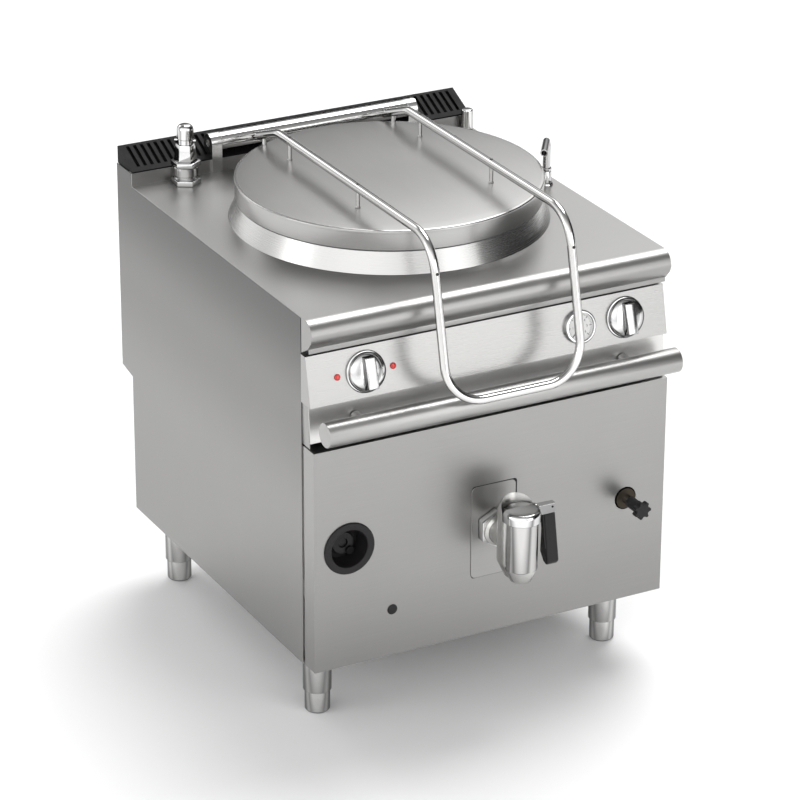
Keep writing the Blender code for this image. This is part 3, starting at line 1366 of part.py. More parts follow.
def gauge(panel, pivot):
    """A pressure gauge: its case, its needle and its glass."""
    tube = GAUGE_RADIUS * 0.86
    inner = GAUGE_RADIUS - GAUGE_RIM
    case = turned([
        (0.0, -GAUGE_DEPTH),
        (tube, -GAUGE_DEPTH),
        (tube, GAP),
        (GAUGE_RADIUS, GAP),
        (GAUGE_RADIUS, GAUGE_HEIGHT - 0.002),
        (GAUGE_RADIUS - 0.002, GAUGE_HEIGHT),
        (inner, GAUGE_HEIGHT),
        (inner, DIAL_HEIGHT),
        (0.0, DIAL_HEIGHT),
    ][::-1], 24)
    spot = (GAUGE_X, 0.0, 0.0)
    place("gauge_case", case, BRIGHT, spot, FACING_FRONT, panel)
    needle = prism([
        (-0.0018, -0.006),
        (0.0018, -0.006),
        (0.0006, inner - 0.005),
        (-0.0006, inner - 0.005),
    ], DIAL_HEIGHT + GAP, DIAL_HEIGHT + GAP + 0.0008, "Z")
    bmesh.ops.rotate(needle, matrix=Matrix.Rotation(NEEDLE_REST, 3, "Z"), verts=needle.verts)
    place("gauge_needle", needle, BLACK, turn=FACING_FRONT, parent=pivot)
    glass = disc(inner - GAP, GAUGE_HEIGHT - 0.0025, GAUGE_HEIGHT - 0.0008, 24)
    place("gauge_glass", glass, WHITE, spot, FACING_FRONT, panel)


# Fittings on the worktop

def safety_valve():
    """The stem with its pipe to the jacket, the bonnet and the lifting cap."""
    base = GAP
    top = base + VALVE_BODY_HEIGHT
    flange_top = top + VALVE_TOP_FLANGE
    spot = (VALVE_X, VALVE_Y, WORKTOP_HEIGHT)
    neck = 0.5 * VALVE_BODY_RADIUS
    stem = turned([
        (0.0, top + 0.5 * VALVE_TOP_FLANGE),
        (VALVE_BODY_RADIUS, top + 0.5 * VALVE_TOP_FLANGE),
        (VALVE_BODY_RADIUS, base + 0.5 * VALVE_FLANGE),
        (neck, base + 0.5 * VALVE_FLANGE),
        (neck, -VALVE_STEM_DEPTH),
        (0.0, -VALVE_STEM_DEPTH),
    ], 24)
    body = place("valve_stem", stem, BRIGHT, spot)
    join(body, "valve_low_hex", prism(hexagon(VALVE_FLATS), base, base + VALVE_FLANGE, "Z"), spot)
    join(body, "valve_top_hex", prism(hexagon(VALVE_FLATS), top, flange_top, "Z"), spot)
    rise = VALVE_BONNET_HEIGHT
    low = VALVE_BONNET_LOW / math.sqrt(3.0)
    high = VALVE_BONNET_HIGH / math.sqrt(3.0)
    start = flange_top + GAP
    bonnet = turned([(0.0, start + rise), (high, start + rise), (low, start), (0.0, start)], 6)
    place("valve_bonnet", bonnet, BRIGHT, spot)
    seat = start + rise + GAP
    dome = arc((0.0, VALVE_CAP_HEIGHT - VALVE_CAP_RADIUS), VALVE_CAP_RADIUS, math.pi / 2, 0.0, 4)[1:]
    cap = turned(
        [(0.0, VALVE_CAP_HEIGHT)]
        + dome
        + [
            (VALVE_CAP_RADIUS, 0.016),
            (0.75 * VALVE_CAP_RADIUS, 0.012),
            (0.75 * VALVE_CAP_RADIUS, 0.003),
            (0.9 * VALVE_CAP_RADIUS, 0.0),
            (0.0, 0.0),
        ],
        FINE_STEPS,
    )
    cap_at = (VALVE_X, VALVE_Y, WORKTOP_HEIGHT + seat)
    made = place("valve_cap", cap, BRIGHT, cap_at)
    half = 0.5 * VALVE_PIN_LENGTH
    pin = disc(VALVE_PIN_RADIUS, -half, half, 10)
    pin_at = (VALVE_X, VALVE_Y, WORKTOP_HEIGHT + seat + VALVE_PIN_RISE)
    join(made, "valve_pin", pin, pin_at, (0.0, math.pi / 2, VALVE_PIN_TURN))


def water_spout(pivot):
    """A fixed fitting on the worktop and the swivelling bent spout in it."""
    spot = (SPOUT_X, KETTLE_Y, WORKTOP_HEIGHT)
    base = turned([
        (SPOUT_BORE - 0.001, SPOUT_BASE_HEIGHT),
        (SPOUT_BASE_RADIUS, SPOUT_BASE_HEIGHT),
        (SPOUT_BASE_RADIUS, 0.006),
        (SPOUT_BASE_RADIUS + 0.004, 0.004),
        (SPOUT_BASE_RADIUS + 0.004, GAP),
        (SPOUT_RADIUS, GAP),
        (SPOUT_RADIUS, -SPOUT_BASE_ROOT),
        (SPOUT_BORE - 0.001, -SPOUT_BASE_ROOT),
    ], SMALL_STEPS)
    place("spout_base", base, BRIGHT, spot)
    arm_z = SPOUT_ARM_Z - WORKTOP_HEIGHT - SPOUT_BASE_HEIGHT
    away = Vector((-math.cos(SPOUT_TURN), math.sin(SPOUT_TURN), 0.0))
    corners = [
        Vector((0.0, 0.0, GAP)),
        Vector((0.0, 0.0, arm_z)),
        away * SPOUT_REACH + Vector((0.0, 0.0, arm_z)),
    ]
    side = away.cross(Vector((0.0, 0.0, 1.0)))
    outside = bar(rounded_path(corners, [SPOUT_BEND], 0.26), SPOUT_RADIUS, side, 14)
    spout = place("water_spout", outside, BRIGHT, parent=pivot)
    inner = [corners[1] + away * (SPOUT_BEND + 0.01), corners[2] + away * 0.01]
    cut(spout, "spout_bore", bar(inner, SPOUT_BORE, side, 14), parent=pivot)


def corner_post():
    """A round plug fixed in the worktop's right rear corner."""
    place("corner_post", turned([
        (0.0, POST_HEIGHT),
        (POST_RADIUS - POST_EDGE, POST_HEIGHT),
        (POST_RADIUS, POST_HEIGHT - POST_EDGE),
        (POST_RADIUS, GAP),
        (0.0, GAP),
    ], 24), BRIGHT, (POST_X, POST_Y, WORKTOP_HEIGHT))


# Feet

def foot(corner, x, y, pivot):
    """A fixed sleeve under the cabinet and the foot that screws into it."""
    top = CABINET_FLOOR - GAP
    thread = cleared(FOOT_STEM_RADIUS, FINE_STEPS)
    sleeve = turned([
        (thread, top),
        (SLEEVE_RADIUS, top),
        (SLEEVE_RADIUS, FOOT_HEIGHT + GAP),
        (thread, FOOT_HEIGHT + GAP),
    ], FINE_STEPS)
    place("sleeve_" + corner, sleeve, BRIGHT, (x, y, 0.0))
    tread = turned([
        (0.0, FOOT_HEIGHT + FOOT_STEM_LENGTH),
        (FOOT_STEM_RADIUS, FOOT_HEIGHT + FOOT_STEM_LENGTH),
        (FOOT_STEM_RADIUS, FOOT_HEIGHT),
        (FOOT_RADIUS, FOOT_HEIGHT),
        (FOOT_RADIUS, FOOT_TREAD),
        (FOOT_RADIUS - 0.002, 0.0),
        (0.0, 0.0),
    ], FINE_STEPS)
    place("foot_" + corner, tread, BRIGHT, parent=pivot)


# Assembly

def build():
    panel_mid_y = PANEL_FOOT_Y + math.sin(PANEL_TILT) * (PANEL_LENGTH - KNOB_DROP)
    panel_mid_z = PANEL_HEAD_Z - math.cos(PANEL_TILT) * KNOB_DROP
    panel = empty("panel_face", (0.0, panel_mid_y, panel_mid_z), (-PANEL_TILT, 0.0, 0.0), DATUM)
    base_pan()
    side_panel("side_panel_left", -1)
    side_panel("side_panel_right", 1)
    rear_panel()
    worktop()
    vent_grille("vent_grille_left", -1)
    vent_grille("vent_grille_right", 1)
    control_panel(panel)
    lower_fascia()
    front_panel()
    handle_rail()

    kettle_collar()
    kettle_vessel()
    jacket_shell()
    heating_element()
    strainer()
    discharge_pipe()

    lid_axis = empty("lid_axis", (0.0, HINGE_Y, HINGE_Z), parent=DATUM)
    lid(lid_axis)
    lid_handle_frame(lid_axis)
    hinge_tube(lid_axis)
    hinge_strap("hinge_strap_left", HINGE_LEFT - STRAP_WIDTH, HINGE_LEFT)
    hinge_strap("hinge_strap_right", HINGE_RIGHT, HINGE_RIGHT + STRAP_WIDTH)

    tap_plate()
    tap_nut()
    tap_body()
    tap_bonnet()
    lever_axis = empty("lever_axis", (0.0, TAP_Y - LEVER_SET, TAP_DOME_Z), parent=DATUM)
    tap_lever(lever_axis)
    tap_grip(lever_axis)

    star_spot = (COCK_X, FRONT_FACE - COCK_HUB_REACH, COCK_Z)
    level_cock(empty("star_axis", star_spot, parent=DATUM))
    recess_cup()

    for side, x in (("left", KNOB_LEFT_X), ("right", KNOB_RIGHT_X)):
        bezel_and_switch(side, x, panel)
        knob(side, empty("knob_axis_" + side, (x, 0.0, 0.0), parent=panel))
    for name, x in zip(("lamp_left", "lamp_right"), LAMP_XS):
        lamp(name, x, panel)
    gauge(panel, empty("needle_axis", (GAUGE_X, 0.0, 0.0), parent=panel))

    safety_valve()
    spout_spot = (SPOUT_X, KETTLE_Y, WORKTOP_HEIGHT + SPOUT_BASE_HEIGHT)
    water_spout(empty("spout_axis", spout_spot, parent=DATUM))
    corner_post()

    for end, y in (("front", FOOT_FRONT_Y), ("rear", FOOT_REAR_Y)):
        for side, hand in (("left", -1), ("right", 1)):
            name = end + "_" + side
            axis = empty("foot_axis_" + name, (hand * FOOT_X, y, 0.0), parent=DATUM)
            foot(name, hand * FOOT_X, y, axis)


build()
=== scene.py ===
"""The looks of a free-standing boiling kettle: brushed sheet, bright tube, chromed fittings.

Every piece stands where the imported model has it. Places are written as on the real kettle:
x from its middle, y back from the worktop's front line, z up from the floor, in metres.
"""

import math

import bpy
from mathutils import Matrix, Vector


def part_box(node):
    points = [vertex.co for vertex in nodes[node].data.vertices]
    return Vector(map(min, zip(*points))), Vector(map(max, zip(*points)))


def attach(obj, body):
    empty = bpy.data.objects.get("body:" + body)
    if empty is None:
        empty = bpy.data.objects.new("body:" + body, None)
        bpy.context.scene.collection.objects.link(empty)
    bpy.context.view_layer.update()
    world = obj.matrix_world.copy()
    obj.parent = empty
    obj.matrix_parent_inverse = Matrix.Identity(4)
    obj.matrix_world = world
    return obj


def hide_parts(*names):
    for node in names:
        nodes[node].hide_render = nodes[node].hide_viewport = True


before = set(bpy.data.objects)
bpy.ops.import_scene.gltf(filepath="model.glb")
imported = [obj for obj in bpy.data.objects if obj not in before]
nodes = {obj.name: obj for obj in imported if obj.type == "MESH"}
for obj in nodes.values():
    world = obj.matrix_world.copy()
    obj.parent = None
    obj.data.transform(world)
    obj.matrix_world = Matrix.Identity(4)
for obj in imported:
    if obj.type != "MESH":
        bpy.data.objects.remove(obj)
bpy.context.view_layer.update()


# Studio
# A long lens looks down on the kettle from its left front, as in the photograph. The floor
# is a pale sheet. A pale room, three soft boxes and a wide sheet overhead light it.
NOSE_REACH = 0.032
FRONT_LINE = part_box("worktop")[0].y + NOSE_REACH


def at(x, y, z):
    """A place on the kettle as a point of the frame."""
    return Vector((x, FRONT_LINE + y, z))


LENS_PIXELS = 3692.7
PICTURE_PIXELS = 800
SENSOR_MM = 36.0
CAMERA_AZIMUTH = math.radians(-28.09)
CAMERA_ELEVATION = math.radians(24.21)
CAMERA_ROLL = math.radians(0.24)

back = Vector((
    math.sin(CAMERA_AZIMUTH) * math.cos(CAMERA_ELEVATION),
    -math.cos(CAMERA_AZIMUTH) * math.cos(CAMERA_ELEVATION),
    math.sin(CAMERA_ELEVATION),
))
level = Vector((math.cos(CAMERA_AZIMUTH), math.sin(CAMERA_AZIMUTH), 0.0))
upright = back.cross(level)
right = math.cos(CAMERA_ROLL) * level + math.sin(CAMERA_ROLL) * upright
top = math.cos(CAMERA_ROLL) * upright - math.sin(CAMERA_ROLL) * level
bpy.ops.object.camera_add()
camera = bpy.context.object
camera.name = "studio_camera"
turned = Matrix((right, top, back)).transposed().to_4x4()
camera.matrix_world = Matrix.Translation(at(-3.2774, -5.7730, 3.6303)) @ turned
camera.data.sensor_width = SENSOR_MM
camera.data.lens = LENS_PIXELS / PICTURE_PIXELS * SENSOR_MM
camera.data.shift_x = 1.5 / PICTURE_PIXELS
camera.data.clip_end = 60.0
bpy.context.scene.camera = camera


def feed(tree, node, inputs):
    """Give each named input of a node its value, or link it to a socket."""
    for name, value in inputs.items():
        if isinstance(value, bpy.types.NodeSocket):
            tree.links.new(value, node.inputs[name])
        else:
            node.inputs[name].default_value = value
    return node


def new_node(tree, kind, inputs, operation=None):
    """A new node with its inputs given."""
    node = tree.nodes.new("ShaderNode" + kind)
    if operation:
        node.operation = operation
    return feed(tree, node, inputs)


def shader_of(made):
    return made.node_tree.nodes["Principled BSDF"]


FLOOR_SIZE = 40.0
bpy.ops.mesh.primitive_plane_add(size=FLOOR_SIZE, location=(0.0, 0.0, -0.0005))
floor = bpy.context.object
floor.name = "studio_floor"
paper = bpy.data.materials.new("pale_paper")
paper.use_nodes = True
paper_values = {"Base Color": (0.93, 0.93, 0.93, 1.0), "Roughness": 0.9, "Specular IOR Level": 0.1}
feed(paper.node_tree, shader_of(paper), paper_values)
floor.data.materials.append(paper)
bpy.context.scene.view_settings.view_transform = "Standard"

room = bpy.data.worlds.new("pale_room")
room.use_nodes = True
around = new_node(room.node_tree, "TexCoord", {})
glow = room.node_tree.nodes["Background"]


def room_patch(total, direction, sharpness, amount):
    """The room's brightness with a soft patch added or taken away in one direction."""
    tree = room.node_tree
    middle = Vector(direction).normalized()
    facing_it = new_node(tree, "VectorMath", {0: around.outputs["Generated"], 1: middle}, "DOT_PRODUCT")
    positive = new_node(tree, "Math", {0: facing_it.outputs["Value"], 1: 0.0}, "MAXIMUM")
    narrow = new_node(tree, "Math", {0: positive.outputs["Value"], 1: sharpness}, "POWER")
    added = new_node(tree, "Math", {0: narrow.outputs["Value"], 1: amount, 2: total}, "MULTIPLY_ADD")
    return added.outputs["Value"]


level_light = new_node(room.node_tree, "Value", {})
level_light.outputs["Value"].default_value = 0.21
light = level_light.outputs["Value"]
for direction, sharpness, amount in (
    ((0.90, 0.40, 0.35), 6.0, 0.30),
    ((-0.95, 0.10, 0.30), 7.0, 1.2),
    ((-0.30, -0.85, 0.38), 5.0, 1.3),
    ((-0.20, 0.80, 0.55), 60.0, 4.0),
    ((-0.78, -0.50, 0.38), 10.0, 0.9),
    ((0.52, 0.68, 0.62), 40.0, 2.2),
    ((1.0, -0.10, 0.15), 7.0, -0.50),
    ((-0.52, 0.85, 0.06), 14.0, 1.2),
):
    light = room_patch(light, direction, sharpness, amount)
never_dark = new_node(room.node_tree, "Math", {0: light, 1: 0.03}, "MAXIMUM")
feed(room.node_tree, glow, {"Strength": never_dark.outputs["Value"], "Color": (1.0, 1.0, 1.0, 1.0)})
bpy.context.scene.world = room


def soft_box(name, place, aim, width, height, watts):
    """A wide rectangular light that faces a point."""
    bpy.ops.object.light_add(type="AREA", location=place)
    box = bpy.context.object
    box.name = name
    box.data.shape = "RECTANGLE"
    box.data.size = width
    box.data.size_y = height
    box.data.energy = watts
    box.rotation_euler = (Vector(aim) - Vector(place)).to_track_quat("-Z", "Y").to_euler()


soft_box("box_front", (1.7, -4.2, 1.8), (0.0, 0.0, 0.9), 2.2, 3.2, 38.0)
soft_box("box_rear", (3.3, 3.4, 2.6), (0.2, 0.0, 0.9), 2.0, 1.8, 4.0)
soft_box("box_left", (-4.4, 0.5, 2.0), (0.0, 0.0, 0.9), 1.4, 1.4, 12.0)
bpy.ops.object.light_add(type="SUN", location=(0.0, 0.0, 4.0))
sky = bpy.context.object
sky.name = "overhead_sheet"
sky.data.energy = 2.1
sky.data.angle = math.radians(36.0)
sky.rotation_euler = Vector((-0.42, -0.32, -1.0)).to_track_quat("-Z", "Y").to_euler()


# Base pan, side panels and rear panel
# Stainless sheet, two millimetres thick, brushed one way and folded. The folds have a small
# radius, and the cut edges are broken, which shows as a bright line along each seam.
SHEET_COLOUR = (0.350, 0.347, 0.341, 1.0)
FOLD_RADIUS = 0.0008


def value_group(name, sockets_in, sockets_out):
    """An empty shader node group with its sockets, and its input and output nodes."""
    group = bpy.data.node_groups.new(name, "ShaderNodeTree")
    for label, kind, value in sockets_in:
        socket = group.interface.new_socket(name=label, in_out="INPUT", socket_type=kind)
        socket.default_value = value
    for label, kind in sockets_out:
        group.interface.new_socket(name=label, in_out="OUTPUT", socket_type=kind)
    return group, group.nodes.new("NodeGroupInput"), group.nodes.new("NodeGroupOutput")


def brushed_grain():
    """Fine lines along one direction, and slow clouds of handling marks under them."""
    group, inside, outside = value_group(
        "brushed_grain",
        [
            ("Vector", "NodeSocketVector", (0.0, 0.0, 0.0)),
            ("Lines", "NodeSocketVector", (6.0, 900.0, 900.0)),
            ("Cloud Size", "NodeSocketFloat", 7.0),
            ("Roughness", "NodeSocketFloat", 0.3),
            ("Roughness Spread", "NodeSocketFloat", 0.08),
        ],
        [("Tone", "NodeSocketFloat"), ("Roughness", "NodeSocketFloat"), ("Height", "NodeSocketFloat")],
    )
    along = inside.outputs["Vector"]
    stretch = new_node(group, "Mapping", {"Vector": along, "Scale": inside.outputs["Lines"]})
    lines = new_node(group, "TexNoise", {"Scale": 1.0, "Detail": 3.0, "Vector": stretch.outputs["Vector"]})
    size = inside.outputs["Cloud Size"]
    clouds = new_node(group, "TexNoise", {"Detail": 4.0, "Vector": along, "Scale": size})
    both = new_node(group, "Mix", {"Factor": 0.35, "A": lines.outputs["Fac"], "B": clouds.outputs["Fac"]})
    centred = new_node(group, "Math", {0: both.outputs["Result"], 1: 0.5}, "SUBTRACT")
    spread = new_node(group, "Math", {
        0: centred.outputs["Value"],
        1: inside.outputs["Roughness Spread"],
        2: inside.outputs["Roughness"],
    }, "MULTIPLY_ADD")
    feed(group, outside, {
        "Tone": both.outputs["Result"],
        "Roughness": spread.outputs["Value"],
        "Height": lines.outputs["Fac"],
    })
    return group


GRAIN = brushed_grain()


def new_finish(name, colour, roughness, metallic):
    """A Principled material with its plain values set on the shader itself."""
    made = bpy.data.materials.new(name)
    made.use_nodes = True
    values = {"Base Color": colour, "Roughness": roughness, "Metallic": metallic}
    feed(made.node_tree, shader_of(made), values)
    made.diffuse_color = colour
    return made


def mixed(tree, blend, factor, first, second):
    """Two colours mixed, each of them a value or a link."""
    node = tree.nodes.new("ShaderNodeMix")
    node.data_type = "RGBA"
    node.blend_type = blend
    return feed(tree, node, {0: factor, 6: first, 7: second}).outputs[2]


def grained(made, group, values, colour, low, high, depth):
    """A finish whose tone, gloss and relief come from a group's grain."""
    tree = made.node_tree
    grain = tree.nodes.new("ShaderNodeGroup")
    grain.node_tree = group
    where = new_node(tree, "TexCoord", {})
    feed(tree, grain, {"Vector": where.outputs["Object"], **values})
    darker = [c * low for c in colour[:3]] + [1.0]
    paler = [min(1.0, c * high) for c in colour[:3]] + [1.0]
    bump = new_node(tree, "Bump", {"Strength": 1.0, "Distance": depth, "Height": grain.outputs["Height"]})
    feed(tree, shader_of(made), {
        "Base Color": mixed(tree, "MIX", grain.outputs["Tone"], darker, paler),
        "Roughness": grain.outputs["Roughness"],
        "Normal": bump.outputs["Normal"],
    })
    return made


def metal(name, colour, roughness, lines, depth=0.00003, spread=0.10, contrast=0.10, clouds=7.0):
    """A bare metal whose brushing runs where the scale in lines is small."""
    values = {"Lines": lines, "Cloud Size": clouds, "Roughness": roughness, "Roughness Spread": spread}
    made = new_finish(name, colour, roughness, 1.0)
    return grained(made, GRAIN, values, colour, 1.0 - contrast, 1.0 + contrast, depth)


def toned(made, value, stops, blend="LINEAR"):
    """The colour of a finish multiplied by greys that follow a value on the piece."""
    tree = made.node_tree
    greys = new_node(tree, "ValToRGB", {"Fac": value})
    ramp = greys.color_ramp
    ramp.interpolation = blend
    while len(ramp.elements) < len(stops):
        ramp.elements.new(0.5)
    for element, (place, tone) in zip(ramp.elements, stops):
        element.position = place
        element.color = (tone, tone, tone, 1.0)
    tint = shader_of(made).inputs["Base Color"].links[0].from_socket
    shaded = mixed(tree, "MULTIPLY", 1.0, tint, greys.outputs["Color"])
    feed(tree, shader_of(made), {"Base Color": shaded})
    return made


def chosen(piece):
    """The one piece that the next operators act on."""
    bpy.ops.object.select_all(action="DESELECT")
    piece.select_set(True)
    bpy.context.view_layer.objects.active = piece


def rounded_edges(piece, width, segments=3, degrees=30.0):
    """A bevel on every edge sharper than an angle, applied."""
    bpy.context.view_layer.objects.active = piece
    bevel = piece.modifiers.new("edges", "BEVEL")
    bevel.width = width
    bevel.segments = segments
    bevel.limit_method = "ANGLE"
    bevel.angle_limit = math.radians(degrees)
    bevel.use_clamp_overlap = True
    bpy.ops.object.modifier_apply(modifier=bevel.name)


def smooth(piece, degrees=35.0):
    chosen(piece)
    bpy.ops.object.shade_smooth_by_angle(angle=math.radians(degrees))


def flat_faces(piece):
    """Normals weighted by area, so that a sheet shades flat right up to its folds."""
    bpy.context.view_layer.objects.active = piece
    weighting = piece.modifiers.new("flat", "WEIGHTED_NORMAL")
    weighting.keep_sharp = True
    weighting.weight = 100
    bpy.ops.object.modifier_apply(modifier=weighting.name)


def fitted(piece, finish, body, replaced):
    """The finish of a piece, the body it rides on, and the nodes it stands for."""
    piece.data.materials.clear()
    piece.data.materials.append(finish)
    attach(piece, body)
    if replaced:
        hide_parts(*replaced)
    return piece


def dressed_copy(node, finish, body, width=FOLD_RADIUS):
    """A sheet or block of the frame with merged faces and broken edges."""
    piece = nodes[node].copy()
    piece.data = nodes[node].data.copy()
    bpy.context.collection.objects.link(piece)
    piece.parent = None
    for key in list(piece.keys()):
        del piece[key]
    piece.name = node + "_dressed"
    chosen(piece)
    bpy.ops.object.mode_set(mode="EDIT")
    bpy.ops.mesh.select_all(action="SELECT")
    bpy.ops.mesh.remove_doubles(threshold=0.00002)
    bpy.ops.mesh.dissolve_limited(angle_limit=math.radians(1.0))
    bpy.ops.object.mode_set(mode="OBJECT")
    if width:
        rounded_edges(piece, width)
    smooth(piece)
    flat_faces(piece)
    return fitted(piece, finish, body, [node])


def with_fade(made, stops, low, high):
    """Sheet whose colour is painted darker or lighter with height: painted shade for the way the pale floor's
    light fades over it.
    """
    tree = made.node_tree
    where = new_node(tree, "TexCoord", {})
    parts = new_node(tree, "SeparateXYZ", {"Vector": where.outputs["Object"]})
    height = new_node(tree, "MapRange", {"From Min": low, "From Max": high, "Value": parts.outputs["Z"]})
    return toned(made, height.outputs["Result"], stops, "EASE")


ALONG_Z = (1100.0, 1100.0, 5.0)
# The side, rear and base sheets are painted darkest toward the top: painted shade for the floor's light
# fading up them.
sheet_side = metal("sheet_brushed_sides_painted_shade", SHEET_COLOUR, 0.34, ALONG_Z, 0.00006)
with_fade(sheet_side, [(0.0, 0.80), (0.40, 0.84), (0.72, 0.66), (1.0, 0.34)], 0.15, 0.90)
for node in ("side_panel_left", "side_panel_right", "rear_panel", "base_pan"):
    dressed_copy(node, sheet_side, "cabinet")


# Feet and their sleeves
# Each leg is a polished steel sleeve under the base pan and a narrower round foot that
# screws out of it. The foot's tread has a chamfer, and its rim is broken.
FOOT_X = 0.3338
FOOT_YS = {"front": 0.0848, "rear": 0.7454}
SLEEVE_RADIUS = 0.02925
SLEEVE_LOW = 0.0473
SLEEVE_TOP = 0.1504
FOOT_RADIUS = 0.026
FOOT_STEM_RADIUS = 0.012
# Painted reflection for polished round work: greys by how far the surface turns from the camera.
POLISHED_BANDS = [
    (0.0, 1.0), (0.14, 1.0), (0.26, 0.50), (0.38, 0.80), (0.60, 0.25), (0.85, 0.15), (1.0, 0.5)
]


def with_bands(made, stops):
    """Bright metal with painted reflection: its colour darkens in bands toward its outline, as the
    reflections on polished round work do.
    """
    turned_away = new_node(made.node_tree, "LayerWeight", {"Blend": 0.5})
    return toned(made, turned_away.outputs["Facing"], stops)


def spun(name, profile, steps=96):
    """Half a section drawn a point at a time, (radius, height), and spun about its axis."""
    bpy.ops.object.select_all(action="DESELECT")
    bpy.ops.mesh.primitive_plane_add(size=0.01)
    piece = bpy.context.object
    piece.name = name
    bpy.ops.object.mode_set(mode="EDIT")
    bpy.ops.mesh.select_all(action="SELECT")
    bpy.ops.mesh.merge(type="CENTER")
    bpy.ops.transform.translate(value=(profile[0][0], 0.0, profile[0][1]))
    for here, there in zip(profile, profile[1:]):
        step = (there[0] - here[0], 0.0, there[1] - here[1])
        bpy.ops.mesh.extrude_vertices_move(TRANSFORM_OT_translate={"value": step})
    bpy.ops.mesh.select_all(action="SELECT")
    bpy.ops.mesh.spin(steps=steps, angle=2 * math.pi, center=(0.0, 0.0, 0.0), axis=(0.0, 0.0, 1.0))
    bpy.ops.mesh.select_all(action="SELECT")
    bpy.ops.mesh.remove_doubles(threshold=0.000005)
    bpy.ops.mesh.normals_make_consistent(inside=False)
    bpy.ops.object.mode_set(mode="OBJECT")
    return piece


STRAIGHT = (0.0, 0.0, 0.0)


def settled(piece, place, turn=STRAIGHT):
    """Put a piece in its place, with the place kept in its mesh."""
    chosen(piece)
    piece.rotation_euler = turn
    piece.location = place
    bpy.ops.object.transform_apply(location=True, rotation=True, scale=True)
    return piece


def copies(pattern, names, spots):
    """A finished shape copied to its spots (place, turn), each copy with its own mesh."""
    made = []
    for name, (place, turn) in zip(names, spots):
        piece = pattern.copy()
        piece.data = pattern.data.copy()
        bpy.context.collection.objects.link(piece)
        piece.name = name
        made.append(settled(piece, place, turn))
    bpy.data.objects.remove(pattern)
    return made


polished = metal(
    "polished_steel_round", (0.66, 0.657, 0.648, 1.0), 0.24, (30.0, 30.0, 900.0), 0.00001, 0.06, 0.08
)
with_bands(polished, POLISHED_BANDS)
sleeve = spun("sleeve_blank", [
    (0.0, SLEEVE_LOW), (SLEEVE_RADIUS, SLEEVE_LOW), (SLEEVE_RADIUS, SLEEVE_TOP),
    (0.0, SLEEVE_TOP),
], 64)
rounded_edges(sleeve, 0.0015)
tread = spun("foot_blank", [
    (0.0, 0.0), (FOOT_RADIUS - 0.003, 0.0), (FOOT_RADIUS, 0.004),
    (FOOT_RADIUS, SLEEVE_LOW - 0.0006), (FOOT_STEM_RADIUS, SLEEVE_LOW - 0.0006),
    (FOOT_STEM_RADIUS, 0.100), (0.0, 0.100),
], 64)
rounded_edges(tread, 0.0008)
corner_names = [end + "_" + side for end in FOOT_YS for side in ("left", "right")]
corner_spots = [(at(x, y, 0.0), STRAIGHT) for y in FOOT_YS.values() for x in (-FOOT_X, FOOT_X)]
sleeves = copies(sleeve, ["sleeve_shell_" + where for where in corner_names], corner_spots)
treads = copies(tread, ["foot_shell_" + where for where in corner_names], corner_spots)
for where, sleeve, tread in zip(corner_names, sleeves, treads):
    smooth(sleeve)
    fitted(sleeve, polished, "cabinet", ["sleeve_" + where])
    smooth(tread)
    fitted(tread, polished, "foot_" + where, ["foot_" + where])


# Worktop
# A pressed sheet whose front edge is rolled into a deep nose and whose rear edge turns up
# into the upstand. It is brushed from side to side, and its edges are welded to the sides.
WORKTOP_Z = 0.8975
ALONG_X = (5.0, 1100.0, 1100.0)
worktop_steel = metal(
    "worktop_brushed", (0.345, 0.342, 0.336, 1.0), 0.35, ALONG_X, 0.00004, 0.10, 0.08, 4.0
)
dressed_copy("worktop", worktop_steel, "cabinet", 0.0007)


# Lip under the nose
# The nose's sheet returns downward behind its chin and closes the top of the recess. It is
# the same brushed steel, folded twice more.
def blank(name, size):
    """A block cut to its size, ready to be shaped."""
    bpy.ops.object.select_all(action="DESELECT")
    bpy.ops.mesh.primitive_cube_add(size=1.0)
    piece = bpy.context.object
    piece.name = name
    piece.scale = size
    bpy.ops.object.transform_apply(location=False, rotation=False, scale=True)
    return piece


sheet_across = metal("sheet_brushed_across", SHEET_COLOUR, 0.34, ALONG_X, 0.00006)
lip = blank("nose_lip", (0.7950, 0.0010, 0.0105))
rounded_edges(lip, 0.0003, 2)
smooth(settled(lip, at(0.0, -0.0136, 0.83475)))
fitted(lip, sheet_across, "cabinet", [])


# Front panel, strip, control panel
# Box-folded sheets brushed from side to side. The front panel hooks on to the cabinet and
# stands proud of its sides, and the control panel leans back under the nose.
front_steel = metal("front_brushed_painted_shade", SHEET_COLOUR, 0.34, ALONG_X, 0.00006)
# The front panel is painted darker toward its foot: painted shade.
with_fade(front_steel, [(0.0, 0.84), (0.45, 0.96), (1.0, 1.0)], 0.15, 0.63)
dressed_copy("front_panel", front_steel, "cabinet", 0.0010)
# The strip is the same sheet painted paler: painted light for the brightness it catches above the rail.
strip_painted_light_steel = metal("strip_brushed_painted_light", (0.62, 0.617, 0.608, 1.0), 0.34, ALONG_X, 0.00004)
dressed_copy("lower_fascia", strip_painted_light_steel, "cabinet", 0.0006)
panel_steel = metal("panel_brushed", (0.385, 0.382, 0.376, 1.0), 0.28, ALONG_X, 0.00004, 0.08, 0.06)
dressed_copy("control_panel", panel_steel, "cabinet", 0.0007)


# Ends of the strip
# Folded flanges of the same sheet close the box behind the strip and the front panel at
# both sides. They are welded to the cabinet and show as thin upright edges.
def picked(piece, test):
    """The corners of a piece that pass a test, selected in edit mode."""
    chosen(piece)
    bpy.ops.object.mode_set(mode="EDIT")
    bpy.ops.mesh.select_mode(type="VERT")
    bpy.ops.mesh.select_all(action="DESELECT")
    bpy.ops.object.mode_set(mode="OBJECT")
    for vertex in piece.data.vertices:
        vertex.select = test(vertex.co)
    bpy.ops.object.mode_set(mode="EDIT")


